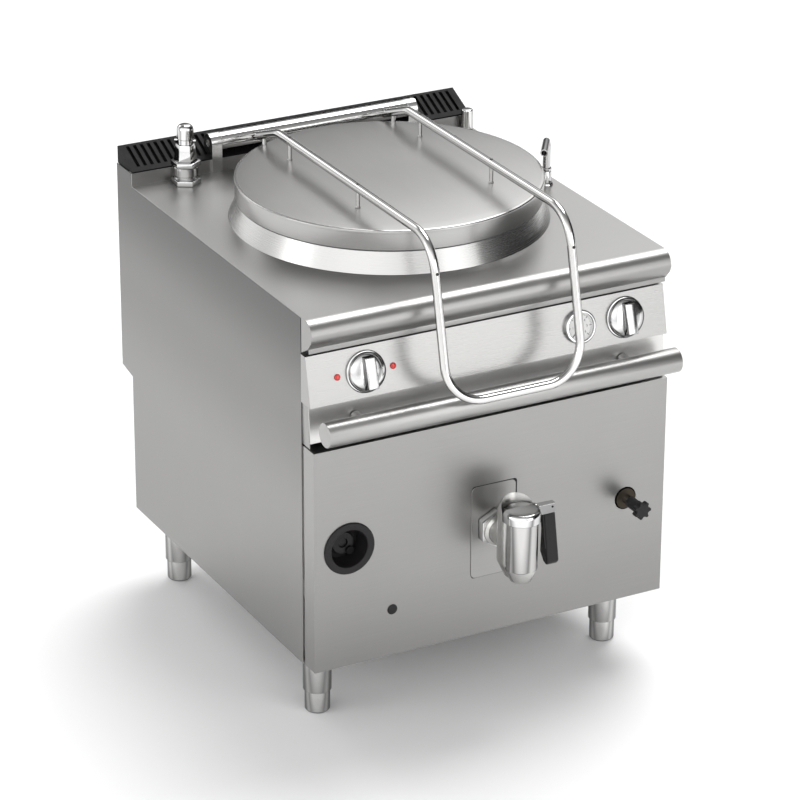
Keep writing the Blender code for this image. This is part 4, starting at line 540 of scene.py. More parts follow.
sheet_upright = metal("sheet_brushed_upright", SHEET_COLOUR, 0.34, ALONG_Z, 0.00006)
flange = blank("strip_flange", (0.0012, 0.0270, 0.0880))
picked(flange, lambda corner: corner.z < 0.0 and corner.y < 0.0)
bpy.ops.transform.translate(value=(0.0, -0.0060, 0.0))
bpy.ops.object.mode_set(mode="OBJECT")
rounded_edges(flange, 0.0003, 2)
fold = blank("front_return", (0.0010, 0.0440, 0.4740))
rounded_edges(fold, 0.0003, 2)
flange_spots = [(at(x, 0.0020, 0.6765), STRAIGHT) for x in (-0.3975, 0.3975)]
fold_spots = [(at(x, -0.0060, 0.3900), STRAIGHT) for x in (-0.3970, 0.3970)]
end_folds = copies(flange, ["strip_flange_left", "strip_flange_right"], flange_spots)
end_folds += copies(fold, ["front_return_left", "front_return_right"], fold_spots)
for piece in end_folds:
    smooth(piece)
    fitted(piece, sheet_upright, "cabinet", [])


# Handle rail
# A fifty millimetre satin tube with flat end caps, on two short posts that are bolted
# through the strip behind it.
RAIL_RADIUS = 0.025
RAIL_Y = -0.0727
RAIL_Z = 0.6832
RAIL_HALF = 0.3942
RAIL_POST_X = 0.300
RAIL_POST_RADIUS = 0.011
RAIL_POST_REACH = 0.0545
satin = metal("satin_tube", (0.40, 0.397, 0.390, 1.0), 0.34, (5.0, 500.0, 500.0), 0.0000020, 0.05, 0.05)


def joined(name, pieces):
    """Several pieces made one object."""
    bpy.ops.object.select_all(action="DESELECT")
    for piece in pieces:
        piece.select_set(True)
    bpy.context.view_layer.objects.active = pieces[0]
    bpy.ops.object.join()
    pieces[0].name = name
    return pieces[0]


rail_tube = settled(spun("rail_tube", [
    (0.0, -RAIL_HALF), (RAIL_RADIUS, -RAIL_HALF), (RAIL_RADIUS, RAIL_HALF), (0.0, RAIL_HALF),
], 96), at(0.0, RAIL_Y, RAIL_Z), (0.0, math.pi / 2, 0.0))
rounded_edges(rail_tube, 0.0016, 3)
post = spun("rail_post", [
    (0.0, 0.0), (RAIL_POST_RADIUS, 0.0), (RAIL_POST_RADIUS, RAIL_POST_REACH),
    (0.0, RAIL_POST_REACH),
], 40)
post_spots = [(at(x, RAIL_Y, RAIL_Z), (-math.pi / 2, 0.0, 0.0)) for x in (-RAIL_POST_X, RAIL_POST_X)]
rail = joined("handle_rail_shell", [rail_tube] + copies(post, ["post_left", "post_right"], post_spots))
smooth(rail)
fitted(rail, satin, "cabinet", ["handle_rail"])


# Vent grilles
# Two sloping caps over the flue, pressed from sheet with slots from front to rear and
# finished in black enamel.
def moulded_skin():
    """A fine grain, and slow patches of tone and gloss from handling."""
    group, inside, outside = value_group(
        "moulded_skin",
        [
            ("Vector", "NodeSocketVector", (0.0, 0.0, 0.0)),
            ("Grain Scale", "NodeSocketFloat", 900.0),
            ("Patch Scale", "NodeSocketFloat", 40.0),
            ("Roughness", "NodeSocketFloat", 0.5),
        ],
        [("Tone", "NodeSocketFloat"), ("Roughness", "NodeSocketFloat"), ("Height", "NodeSocketFloat")],
    )
    along = inside.outputs["Vector"]
    skin = new_node(group, "TexNoise", {"Vector": along, "Scale": inside.outputs["Grain Scale"]})
    size = inside.outputs["Patch Scale"]
    patches = new_node(group, "TexNoise", {"Detail": 4.0, "Vector": along, "Scale": size})
    gloss = new_node(group, "MapRange", {
        "Value": patches.outputs["Fac"],
        "To Min": new_node(group, "Math", {0: inside.outputs["Roughness"], 1: -0.08}).outputs["Value"],
        "To Max": new_node(group, "Math", {0: inside.outputs["Roughness"], 1: 0.10}).outputs["Value"],
    })
    feed(group, outside, {
        "Tone": patches.outputs["Fac"],
        "Roughness": gloss.outputs["Result"],
        "Height": skin.outputs["Fac"],
    })
    return group


SKIN = moulded_skin()


def moulded(name, colour, roughness, grain=900.0, depth=0.00004, patch=40.0):
    """Enamel, plastic or rubber with a moulded skin."""
    values = {"Grain Scale": grain, "Patch Scale": patch, "Roughness": roughness}
    return grained(new_finish(name, colour, roughness, 0.0), SKIN, values, colour, 0.8, 1.25, depth)


enamel = moulded("black_enamel", (0.0065, 0.0060, 0.0062, 1.0), 0.55, 500.0, 0.00003)
shader_of(enamel).inputs["Specular IOR Level"].default_value = 0.12
for side in ("left", "right"):
    dressed_copy("vent_grille_" + side, enamel, "cabinet", 0.0005)
# A black sheet under the slots: painted shade that keeps the slots dark, for the shade inside the flue.
flue_shade_sheet = blank("vent_shade_sheet", (0.786, 0.0700, 0.0010))
rounded_edges(flue_shade_sheet, 0.0003, 1)
settled(flue_shade_sheet, at(0.0, 0.8335, 0.9375), (math.atan2(0.0369, 0.075), 0.0, 0.0))
fitted(flue_shade_sheet, enamel, "cabinet", [])


# Vessel, steam jacket and their pipes
# The vessel is a deep drawn cup with a dished floor and a flat rim. A jacket of thicker
# sheet is welded round it. The heating rods, the drain's pipe and its strainer lie inside.
KETTLE_Y = 0.411
RIM_Z = 0.9422
VESSEL_RADIUS = 0.300
VESSEL_FLOOR_Z = 0.5222
VESSEL_CORNER = 0.090
VESSEL_WALL = 0.0025
RIM_RADIUS = 0.309
DRAIN_RADIUS = 0.022
ring_brushed = metal(
    "ring_brushed", (0.38, 0.377, 0.370, 1.0), 0.28, (10.0, 10.0, 1000.0), 0.00004, 0.10, 0.08
)


def quarter(centre, radius, begin, end, steps):
    """Points on an arc of a section, its angles in degrees."""
    points = []
    for i in range(steps + 1):
        turn = math.radians(begin + (end - begin) * i / steps)
        points.append((centre[0] + radius * math.cos(turn), centre[1] + radius * math.sin(turn)))
    return points


corner = (VESSEL_RADIUS - VESSEL_CORNER, VESSEL_FLOOR_Z + VESSEL_CORNER)
vessel = spun("vessel_shell", (
    [(DRAIN_RADIUS, VESSEL_FLOOR_Z - VESSEL_WALL), (DRAIN_RADIUS, VESSEL_FLOOR_Z)]
    + quarter(corner, VESSEL_CORNER, -90.0, 0.0, 10)
    + [(VESSEL_RADIUS, RIM_Z - 0.003)]
    + quarter((VESSEL_RADIUS + 0.003, RIM_Z - 0.003), 0.003, 180.0, 90.0, 3)
    + [(RIM_RADIUS, RIM_Z), (RIM_RADIUS, RIM_Z - VESSEL_WALL)]
    + [(VESSEL_RADIUS + VESSEL_WALL, RIM_Z - VESSEL_WALL)]
    + quarter(corner, VESSEL_CORNER + VESSEL_WALL, 0.0, -90.0, 10)
    + [(DRAIN_RADIUS, VESSEL_FLOOR_Z - VESSEL_WALL)]
), 128)
smooth(settled(vessel, at(0.0, KETTLE_Y, 0.0)))
fitted(vessel, ring_brushed, "cabinet", ["kettle_vessel"])


def painted(node, finish):
    """A node of the frame that is shown as it is, in its own finish."""
    nodes[node].data.materials.clear()
    nodes[node].data.materials.append(finish)


painted("jacket_shell", ring_brushed)
painted("discharge_pipe", sheet_across)
painted("heating_element", polished)
painted("strainer", polished)


# Collar
# A spun ring that slopes up from the worktop to the vessel's rim. Its lower hem lies on
# the worktop, and the rim is welded flush inside its upper edge.
COLLAR_LOW = 0.8978
COLLAR_TOP = 0.9394
COLLAR_BASE_RADIUS = 0.3274
COLLAR_TOP_RADIUS = 0.309
# The collar's colour is painted paler than the sheet: painted light for its bright front.
collar_painted_light_steel = metal(
    "collar_brushed_painted_light", (0.53, 0.527, 0.519, 1.0), 0.27, (6.0, 6.0, 900.0), 0.000012, 0.06, 0.05
)
collar = spun("collar_shell", [
    (COLLAR_BASE_RADIUS - 0.006, COLLAR_LOW), (COLLAR_BASE_RADIUS, COLLAR_LOW),
    (COLLAR_BASE_RADIUS - 0.0006, COLLAR_LOW + 0.0016),
    (COLLAR_TOP_RADIUS + 0.0008, COLLAR_TOP - 0.0018), (COLLAR_TOP_RADIUS, COLLAR_TOP),
    (COLLAR_TOP_RADIUS - 0.002, COLLAR_TOP), (COLLAR_TOP_RADIUS - 0.002, COLLAR_TOP - 0.003),
    (COLLAR_BASE_RADIUS - 0.006, COLLAR_LOW),
], 160)
smooth(settled(collar, at(0.0, KETTLE_Y, 0.0)), 50.0)
fitted(collar, collar_painted_light_steel, "cabinet", ["kettle_collar"])


# Lid and its seal
# A pressed satin cover with a slight crown and a rounded upper edge. Its wall drops over the
# rim, and an inner flange holds the rubber seal.
LID_FOOT = 0.9428
LID_TOP = 0.9855
LID_RADIUS = 0.310
LID_BEAD_RADIUS = 0.315
LID_EDGE_RADIUS = 0.3085
LID_RISE = 0.008
LID_SHEET = 0.002
lid_steel = metal(
    "lid_satin", (0.365, 0.362, 0.356, 1.0), 0.30, (500.0, 12.0, 12.0), 0.00003, 0.10, 0.08, 5.0
)
lid_wall_steel = metal(
    "lid_wall_satin", (0.44, 0.437, 0.430, 1.0), 0.26, (6.0, 6.0, 900.0), 0.000012, 0.06, 0.05
)


def lid_height(radius):
    return LID_TOP + LID_RISE * (1.0 - (radius / LID_EDGE_RADIUS) ** 3)


inner_wall = LID_RADIUS - LID_SHEET
crown = [0.04 + (LID_EDGE_RADIUS - 0.004 - 0.04) * i / 12 for i in range(13)]
lid = spun("lid_shell", (
    [(0.0, lid_height(0.0))]
    + [(radius, lid_height(radius)) for radius in crown]
    + [(LID_EDGE_RADIUS, LID_TOP - 0.0002)]
    + quarter((LID_BEAD_RADIUS - 0.0035, LID_TOP - 0.0038), 0.0035, 70.0, 0.0, 4)
    + [(LID_BEAD_RADIUS, LID_TOP - 0.0062), (LID_BEAD_RADIUS - 0.0012, LID_TOP - 0.0070)]
    + [(LID_BEAD_RADIUS - 0.0012, LID_FOOT + 0.0012), (LID_BEAD_RADIUS - 0.0022, LID_FOOT)]
    + [(inner_wall, LID_FOOT), (inner_wall, 0.9476), (0.290, 0.9476), (0.290, 0.9496), (inner_wall, 0.9496)]
    + [(inner_wall, LID_TOP - 0.006), (0.302, LID_TOP - 0.0022)]
    + [(radius, lid_height(radius) - LID_SHEET) for radius in (0.29, 0.2, 0.1)]
    + [(0.0, lid_height(0.0) - LID_SHEET)]
), 160)
smooth(settled(lid, at(0.0, KETTLE_Y, 0.0)), 32.0)
fitted(lid, lid_steel, "lid", ["lid"])
lid.data.materials.append(lid_wall_steel)
for face in lid.data.polygons:
    centre = face.center - at(0.0, KETTLE_Y, 0.0)
    if math.hypot(centre.x, centre.y) > LID_EDGE_RADIUS - 0.001:
        face.material_index = 1
rubber = moulded("seal_rubber", (0.05, 0.05, 0.054, 1.0), 0.62, 700.0, 0.00005)
painted("lid_seal", rubber)
# A dark rubber ring set back under the lid's edge: painted shade for the dark gap between lid and collar.
lid_gap_shade_ring = settled(spun("lid_gap_shade_ring", [
    (0.3084, 0.9404), (0.3114, 0.9404), (0.3120, 0.9410), (0.3120, 0.9427), (0.3084, 0.9427),
    (0.3084, 0.9404),
], 128), at(0.0, KETTLE_Y, 0.0))
smooth(lid_gap_shade_ring)
fitted(lid_gap_shade_ring, rubber, "lid", [])


# Hinge tube and its straps
# A tube with the balance spring inside lies across the rear of the worktop. Two bearing
# blocks under bent straps hold its pins, each with a flat leg down to the worktop.
HINGE_Y = 0.808
HINGE_Z = 0.958
HINGE_RADIUS = 0.020
HINGE_LEFT = -0.1947
HINGE_RIGHT = 0.2457
tube = spun("hinge_tube_shell", [
    (0.0, HINGE_LEFT - 0.014), (0.008, HINGE_LEFT - 0.014), (0.008, HINGE_LEFT),
    (HINGE_RADIUS - 0.0012, HINGE_LEFT), (HINGE_RADIUS, HINGE_LEFT + 0.0012),
    (HINGE_RADIUS, HINGE_RIGHT - 0.0012), (HINGE_RADIUS - 0.0012, HINGE_RIGHT),
    (0.008, HINGE_RIGHT), (0.008, HINGE_RIGHT + 0.014), (0.0, HINGE_RIGHT + 0.014),
], 96)
bright_tube = metal(
    "bright_tube", (0.74, 0.735, 0.725, 1.0), 0.12, (600.0, 20.0, 20.0), 0.00001, 0.05, 0.05
)
# Painted reflection for the bright tube: a pale core and dark bands toward its outline.
TUBE_BANDS = [(0.0, 1.0), (0.34, 1.0), (0.45, 0.55), (0.54, 0.85), (0.72, 0.15), (0.90, 0.10), (1.0, 0.5)]
with_bands(bright_tube, TUBE_BANDS)
strap_steel = metal("strap_bright", (0.80, 0.797, 0.79, 1.0), 0.18, ALONG_Z, 0.00002, 0.06, 0.05)
smooth(settled(tube, at(0.0, HINGE_Y, HINGE_Z), (0.0, math.pi / 2, 0.0)))
fitted(tube, bright_tube, "lid", ["hinge_tube"])
for side in ("left", "right"):
    dressed_copy("hinge_strap_" + side, strap_steel, "cabinet", 0.0010)


# Handle of the lid
# One bright eighteen millimetre tube, bent eight times. It lies over the lid on short
# studs, comes down in front of the controls, and its flattened ends are welded to the hinge.
FRAME_TUBE = 0.009
FRAME_SPREAD = 0.1505
FRAME_TOP = 1.032
FRAME_REAR_Y = 0.612
FRAME_FRONT_Y = -0.0464
FRAME_LOW = 0.711
FRAME_SLOPE = math.radians(12.6)
TONGUE_START = 0.0203
TONGUE_LENGTH = 0.095
STUDS = (0.259, 0.560)
REST_STUB_Y = 0.678


def drawn(name, points):
    """A line of edges, drawn a point at a time."""
    bpy.ops.object.select_all(action="DESELECT")
    bpy.ops.mesh.primitive_plane_add(size=0.01)
    line = bpy.context.object
    line.name = name
    bpy.ops.object.mode_set(mode="EDIT")
    bpy.ops.mesh.select_all(action="SELECT")
    bpy.ops.mesh.merge(type="CENTER")
    bpy.ops.transform.translate(value=points[0])
    for here, there in zip(points, points[1:]):
        step = tuple(Vector(there) - Vector(here))
        bpy.ops.mesh.extrude_vertices_move(TRANSFORM_OT_translate={"value": step})
    bpy.ops.object.mode_set(mode="OBJECT")
    return line


def with_bends(corners, radii, step=6.0):
    """A route through corners, each one bent to its radius."""
    points = [Vector(corners[0])]
    for before, corner, after, radius in zip(corners, corners[1:], corners[2:], radii):
        corner = Vector(corner)
        to_start = (Vector(before) - corner).normalized()
        to_end = (Vector(after) - corner).normalized()
        half = 0.5 * to_start.angle(to_end)
        centre = corner + (to_start + to_end).normalized() * (radius / math.sin(half))
        arm = corner + to_start * (radius / math.tan(half)) - centre
        turn = math.pi - 2 * half
        axis = to_end.cross(to_start).normalized()
        count = max(2, round(math.degrees(turn) / step))
        for i in range(count + 1):
            points.append(centre + Matrix.Rotation(turn * i / count, 3, axis) @ arm)
    return points + [Vector(corners[-1])]


def bent_tube(name, points, radius, sides=7):
    """A round tube with closed ends along a route."""
    line = drawn(name, points)
    bpy.ops.object.convert(target="CURVE")
    line = bpy.context.object
    line.data.bevel_depth = radius
    line.data.bevel_resolution = sides
    line.data.use_fill_caps = True
    bpy.ops.object.convert(target="MESH")
    line = bpy.context.object
    bpy.ops.object.mode_set(mode="EDIT")
    bpy.ops.mesh.select_all(action="SELECT")
    bpy.ops.mesh.remove_doubles(threshold=0.00001)
    bpy.ops.mesh.normals_make_consistent(inside=False)
    bpy.ops.object.mode_set(mode="OBJECT")
    return line


rear_rise = math.atan2(FRAME_TOP - HINGE_Z, HINGE_Y - FRAME_REAR_Y)


def along_tongue(distance):
    """The y and z of a point on the frame's rear run, measured from the hinge."""
    return HINGE_Y - distance * math.cos(rear_rise), HINGE_Z + distance * math.sin(rear_rise)


foot_y = FRAME_FRONT_Y - math.tan(FRAME_SLOPE) * (FRAME_TOP - FRAME_LOW)
tongue_inside = along_tongue(TONGUE_START + 0.8 * TONGUE_LENGTH)
half_route = [tongue_inside, (FRAME_REAR_Y, FRAME_TOP), (FRAME_FRONT_Y, FRAME_TOP), (foot_y, FRAME_LOW)]
corners = [at(-FRAME_SPREAD, y, z) for y, z in half_route]
corners += [at(FRAME_SPREAD, y, z) for y, z in half_route[::-1]]
bends = [0.070, 0.082, 0.080]
frame_parts = [bent_tube("handle_frame_shell", with_bends(corners, bends + bends[::-1], 4.0), FRAME_TUBE)]
arms = (-FRAME_SPREAD, FRAME_SPREAD)
tongue = blank("tongue", (0.027, TONGUE_LENGTH, 0.0072))
picked(tongue, lambda corner: corner.y < 0.0)
bpy.ops.transform.resize(value=(0.62, 1.0, 1.9))
bpy.ops.object.mode_set(mode="OBJECT")
rounded_edges(tongue, 0.0028, 4)
tongue_middle = along_tongue(TONGUE_START + 0.5 * TONGUE_LENGTH)
tongue_spots = [(at(x, *tongue_middle), (-rear_rise, 0.0, 0.0)) for x in arms]
frame_parts += copies(tongue, ["tongue_left", "tongue_right"], tongue_spots)
for y in STUDS:
    low = lid_height(math.hypot(FRAME_SPREAD, y - KETTLE_Y)) + 0.0005
    stud = spun("stud", [
        (0.0, low), (0.0052, low), (0.0052, low + 0.0015), (0.004, low + 0.0025),
        (0.004, FRAME_TOP), (0.0, FRAME_TOP),
    ], 32)
    frame_parts += copies(stud, ["stud_left", "stud_right"], [(at(x, y, 0.0), STRAIGHT) for x in arms])
stub_top = HINGE_Z + math.tan(rear_rise) * (HINGE_Y - REST_STUB_Y)
rest_stub = spun("rest_stub", [
    (0.0, LID_TOP + 0.0006), (0.005, LID_TOP + 0.0006), (0.005, stub_top), (0.0, stub_top),
], 32)
stub_spots = [(at(x, REST_STUB_Y, 0.0), STRAIGHT) for x in arms]
frame_parts += copies(rest_stub, ["stub_left", "stub_right"], stub_spots)
handle = joined("handle_frame_shell", frame_parts)
smooth(handle, 40.0)
fitted(handle, bright_tube, "lid", ["lid_handle_frame"])
plug_black = moulded("plug_black", (0.012, 0.012, 0.012, 1.0), 0.5, 900.0, 0.00002)
tube_plug = spun("tube_plug", [
    (0.0, -0.0010), (0.0034, -0.0010), (0.0034, 0.0006), (0.0026, 0.0012), (0.0, 0.0014),
], 24)
plug_spots = [(at(x, y, FRAME_TOP + FRAME_TUBE - 0.0004), STRAIGHT) for x in arms for y in STUDS]
plug_spots += [(at(x, -0.0607 - FRAME_TUBE + 0.0004, 0.9678), (math.pi / 2, 0.0, 0.0)) for x in arms]
plugs = joined("tube_plugs", copies(tube_plug, ["plug"] * 6, plug_spots))
smooth(plugs, 40.0)
fitted(plugs, plug_black, "lid", [])


# Draw-off tap
# A cast and polished body: a domed hood on a short neck, with a barrel in front of it that
# ends in a tapered spout. A screwed cap closes the barrel, and a hexagon nut holds the neck.
TAP_X = 0.0
FRONT_FACE = -0.0339
TAP_AXIS_Z = 0.388
TAP_HOOD_Y = -0.1265
TAP_BARREL_Y = -0.1475
TAP_CAP_Z = 0.448
chrome = metal(
    "chrome_plate", (0.80, 0.80, 0.80, 1.0), 0.09, (300.0, 300.0, 300.0), 0.000004, 0.05, 0.04, 20.0
)
# Painted reflection for chrome and the tap's barrel: bright bands and dark bands toward the outline.
BANDS = [
    (0.0, 1.0), (0.13, 1.0), (0.24, 0.30), (0.33, 0.85), (0.50, 0.75), (0.72, 0.12), (0.90, 0.10), (1.0, 0.45)
]
with_bands(chrome, BANDS)
cast_steel = metal(
    "satin_casting", (0.56, 0.555, 0.54, 1.0), 0.25, (260.0, 260.0, 260.0), 0.00002, 0.08, 0.05, 18.0
)
dressed_copy("tap_plate", sheet_across, "cabinet", 0.0005)
hood = spun("tap_hood", (
    [(0.0, 0.458 + 0.038)]
    + quarter((0.0, 0.458), 0.038, 84.0, 0.0, 14)
    + [(0.038, 0.357), (0.0375, 0.353), (0.0225, 0.3215), (0.021, 0.320), (0.0, 0.320)]
), 96)
settled(hood, at(TAP_X, TAP_HOOD_Y, 0.0))


def hollowed(piece, cutter):
    """A cut by another shape, which is then thrown away."""
    bpy.context.view_layer.objects.active = piece
    cut = piece.modifiers.new("cut", "BOOLEAN")
    cut.operation = "DIFFERENCE"
    cut.solver = "EXACT"
    cut.object = cutter
    bpy.ops.object.modifier_apply(modifier=cut.name)
    bpy.data.objects.remove(cutter)


seat = settled(spun("seat_cutter", [
    (0.0, TAP_CAP_Z), (0.0389, TAP_CAP_Z), (0.0389, 0.466), (0.0405, 0.474), (0.0455, 0.52),
    (0.0, 0.52),
], 96), at(TAP_X, TAP_BARREL_Y, 0.0))
hollowed(hood, seat)
rounded_edges(hood, 0.0012, 3, 40.0)
barrel = settled(spun("tap_barrel", [
    (0.0, TAP_CAP_Z - 0.0003), (0.033, TAP_CAP_Z - 0.0003), (0.033, 0.3465), (0.0325, 0.3440),
    (0.0222, 0.3195), (0.0205, 0.318), (0.0160, 0.318), (0.0150, 0.319), (0.0150, 0.370),
    (0.0, 0.370),
], 96), at(TAP_X, TAP_BARREL_Y, 0.0))
neck = settled(spun("tap_neck", [
    (0.0, 0.0224), (0.0322, 0.0224), (0.0322, 0.0268), (0.0270, 0.0310), (0.0270, 0.080),
    (0.0, 0.080),
], 96), at(TAP_X, FRONT_FACE, TAP_AXIS_Z), (math.pi / 2, 0.0, 0.0))
cheek = settled(spun("tap_cheek", [
    (0.0, 0.026), (0.012, 0.026), (0.012, 0.0395), (0.0115, 0.040), (0.0, 0.040),
], 64), at(TAP_X, -0.131, 0.458), (0.0, math.pi / 2, 0.0))
hollowed(cheek, settled(spun("cheek_cutter", [
    (0.0, 0.44), (0.0389, 0.44), (0.0389, 0.48), (0.0, 0.48),
], 96), at(TAP_X, TAP_BARREL_Y, 0.0)))
body = joined("tap_body_shell", [hood, neck, cheek, barrel])
smooth(body, 40.0)
fitted(body, cast_steel, "cabinet", ["tap_body"])
barrel_bright = metal("barrel_bright", (0.66, 0.655, 0.648, 1.0), 0.16, ALONG_Z, 0.000003, 0.06, 0.05)
with_bands(barrel_bright, BANDS)
body.data.materials.append(barrel_bright)
for face in body.data.polygons:
    place = face.center - at(TAP_X, TAP_BARREL_Y, 0.0)
    on_barrel = abs(math.hypot(place.x, place.y) - 0.033) < 0.0012 and 0.345 < place.z
    face.material_index = 1 if on_barrel else 0

cap = settled(spun("tap_cap_shell", (
    [(0.0, TAP_CAP_Z + 0.0003), (0.0375, TAP_CAP_Z + 0.0003), (0.0385, TAP_CAP_Z + 0.0013)]
    + [(0.0385, TAP_CAP_Z + 0.0140)]
    + quarter((0.0285, TAP_CAP_Z + 0.0140), 0.010, 0.0, 82.0, 8)
    + [(0.016, TAP_CAP_Z + 0.0250), (0.0, TAP_CAP_Z + 0.0256)]
), 96), at(TAP_X, TAP_BARREL_Y, 0.0))
smooth(cap, 40.0)
fitted(cap, chrome, "cabinet", ["tap_bonnet"])


def hexagon_block(name, flats, low, high, chamfer):
    """A hexagon of bar stock with its corners turned off."""
    bpy.ops.object.select_all(action="DESELECT")
    bpy.ops.mesh.primitive_cylinder_add(
        vertices=6, radius=flats / math.sqrt(3.0), depth=high - low, location=(0.0, 0.0, 0.5 * (low + high))
    )
    block = bpy.context.object
    block.name = name
    bpy.ops.object.transform_apply(location=True, rotation=True, scale=True)
    if chamfer:
        rounded_edges(block, chamfer, 2)
    return block


nut = hexagon_block("tap_nut_shell", 0.070, 0.0022, 0.0220, 0.0016)
hollowed(nut, spun("nut_cutter", [(0.0, -0.01), (0.0244, -0.01), (0.0244, 0.0103), (0.0, 0.0103)], 48))
settled(nut, at(TAP_X, FRONT_FACE, TAP_AXIS_Z), (math.pi / 2, 0.0, 0.0))
smooth(nut, 30.0)
fitted(nut, chrome, "cabinet", ["tap_nut"])


# Tap lever and its grip
# A flat chromed arm on the plug's spindle, with a tang that runs down inside a moulded
# black grip. The grip is a wedge that deepens toward its foot.
lever = dressed_copy("tap_lever", chrome, "tap_lever", 0.0009)
plastic = moulded("black_plastic", (0.011, 0.010, 0.011, 1.0), 0.46, 1100.0, 0.00003)
shader_of(plastic).inputs["Specular IOR Level"].default_value = 0.3
lever.data.materials.append(plastic)
for face in lever.data.polygons:
    if face.center.z < 0.4470 and face.center.x > 0.047:
        face.material_index = 1
dressed_copy("tap_grip", plastic, "tap_lever", 0.0035)
rivet = settled(spun("lever_rivet", [
    (0.0, 0.0), (0.0022, 0.0), (0.0022, 0.0006), (0.0, 0.0006),
], 24), at(0.0705, -0.1460, 0.461), (math.pi / 2, 0.0, 0.0))
smooth(rivet)
fitted(rivet, plastic, "tap_lever", [])


# Shadow line round the tap's plate
# A thin black sheet lies under the plate and shows as a fine dark line round it. It is painted
# shadow, standing in for the shade in the gap round the plate.
bpy.ops.object.select_all(action="DESELECT")
bpy.ops.mesh.primitive_plane_add(size=1.0)
plate_shadow_line = bpy.context.object
plate_shadow_line.name = "tap_plate_shadow_line"
plate_shadow_line.scale = (0.1022, 0.2022, 1.0)
bpy.ops.object.transform_apply(location=False, rotation=False, scale=True)
bpy.ops.object.mode_set(mode="EDIT")
bpy.ops.mesh.select_all(action="SELECT")
bpy.ops.mesh.bevel(offset=0.0060, segments=5, affect="VERTICES")
bpy.ops.mesh.select_all(action="SELECT")
bpy.ops.mesh.extrude_region_move(TRANSFORM_OT_translate={"value": (0.0, 0.0, 0.0006)})
bpy.ops.mesh.select_all(action="SELECT")
bpy.ops.mesh.normals_make_consistent(inside=False)
bpy.ops.object.mode_set(mode="OBJECT")
settled(plate_shadow_line, at(0.0025, FRONT_FACE + 0.0002, 0.380), (math.pi / 2, 0.0, 0.0))
fitted(plate_shadow_line, plastic, "cabinet", [])


# Level cock and star wheel
# A plain stem comes through a round hole in the front panel and carries a small moulded
# star wheel. Its pipe runs back to the jacket's floor.
COCK = at(0.308, FRONT_FACE, 0.379)
brass = metal(
    "dark_brass", (0.050, 0.042, 0.032, 1.0), 0.45, (200.0, 200.0, 200.0), 0.00003, 0.10, 0.20, 25.0
)
stem = settled(spun("cock_stem", [
    (0.0, -0.040), (0.012, -0.040), (0.012, -0.008), (0.022, -0.006), (0.022, 0.0025),
    (0.0095, 0.0040), (0.0095, 0.0180), (0.0120, 0.0200), (0.0120, 0.0550), (0.0110, 0.0560),
    (0.0, 0.0560),
], 64), COCK, (math.pi / 2, 0.0, 0.0))
cock_route = with_bends([
    at(0.308, FRONT_FACE + 0.03, 0.379),
    at(0.308, KETTLE_Y - 0.100, 0.379),
    at(0.271, KETTLE_Y, 0.379),
    at(0.271, KETTLE_Y, 0.4487),
], [0.03, 0.025], 12.0)
cock = joined("level_valve_shell", [stem, bent_tube("cock_pipe", cock_route, 0.009, 5)])
smooth(cock)
fitted(cock, brass, "cabinet", ["level_valve_body"])
cock.data.materials.append(chrome)
cock.data.materials.append(plastic)
for face in cock.data.polygons:
    if face.center.y < COCK.y - 0.0041:
        face.material_index = 1 if face.center.y > COCK.y - 0.0270 else 2
dressed_copy("star_wheel", plastic, "star_wheel", 0.0016)


# Recessed reset button and sight plug
# A black moulded cup let into the front panel keeps the thermostat's reset button out of
# the way. A small black plug closes the sight hole below it.
CUP = at(-0.322, FRONT_FACE, 0.410)
cup = settled(spun("recess_cup_shell", (
    [(0.0103, -0.0450), (0.0103, -0.0262), (0.0110, -0.0260)]
    + [(0.0222, -0.0260), (0.0240, -0.0278), (0.0240, -0.0420)]
    + [(0.0365, -0.0420), (0.0372, -0.0412), (0.0394, -0.0010)]
    + quarter((0.0424, 0.0010), 0.0030, 180.0, 100.0, 4)
    + [(0.0520, 0.0040)]
    + quarter((0.0520, 0.0010), 0.0030, 90.0, 10.0, 4)
    + [(0.0550, 0.0004), (0.0434, 0.0004), (0.0434, -0.0450), (0.0103, -0.0450)]
), 96), CUP, (math.pi / 2, 0.0, 0.0))
smooth(cup, 40.0)
fitted(cup, plastic, "cabinet", ["recess_cup"])
button = settled(spun("reset_button_shell", (
    [(0.0, -0.0520), (0.0100, -0.0520), (0.0100, -0.0315)]
    + quarter((0.0085, -0.0315), 0.0015, 0.0, 90.0, 3)
    + [(0.0, -0.0296)]
), 48), CUP, (math.pi / 2, 0.0, 0.0))
smooth(button, 40.0)
fitted(button, plastic, "reset_button", ["reset_button"])
latch = settled(spun("cup_latch", [
    (0.0, -0.0262), (0.0085, -0.0262), (0.0085, -0.0205), (0.0080, -0.0200), (0.0, -0.0198),
], 40), CUP + Vector((0.0130, 0.0, -0.0165)), (math.pi / 2, 0.0, 0.0))
smooth(latch, 40.0)
fitted(latch, enamel, "cabinet", [])
plug = settled(spun("sight_plug_shell", [
    (0.0, -0.0100), (0.0084, -0.0100), (0.0084, 0.0004), (0.0110, 0.0004), (0.0108, 0.0010),
    (0.0095, 0.0017), (0.0, 0.0021),
], 48), at(-0.2263, FRONT_FACE, 0.2535), (math.pi / 2, 0.0, 0.0))
smooth(plug, 40.0)
fitted(plug, plastic, "cabinet", ["sight_plug"])


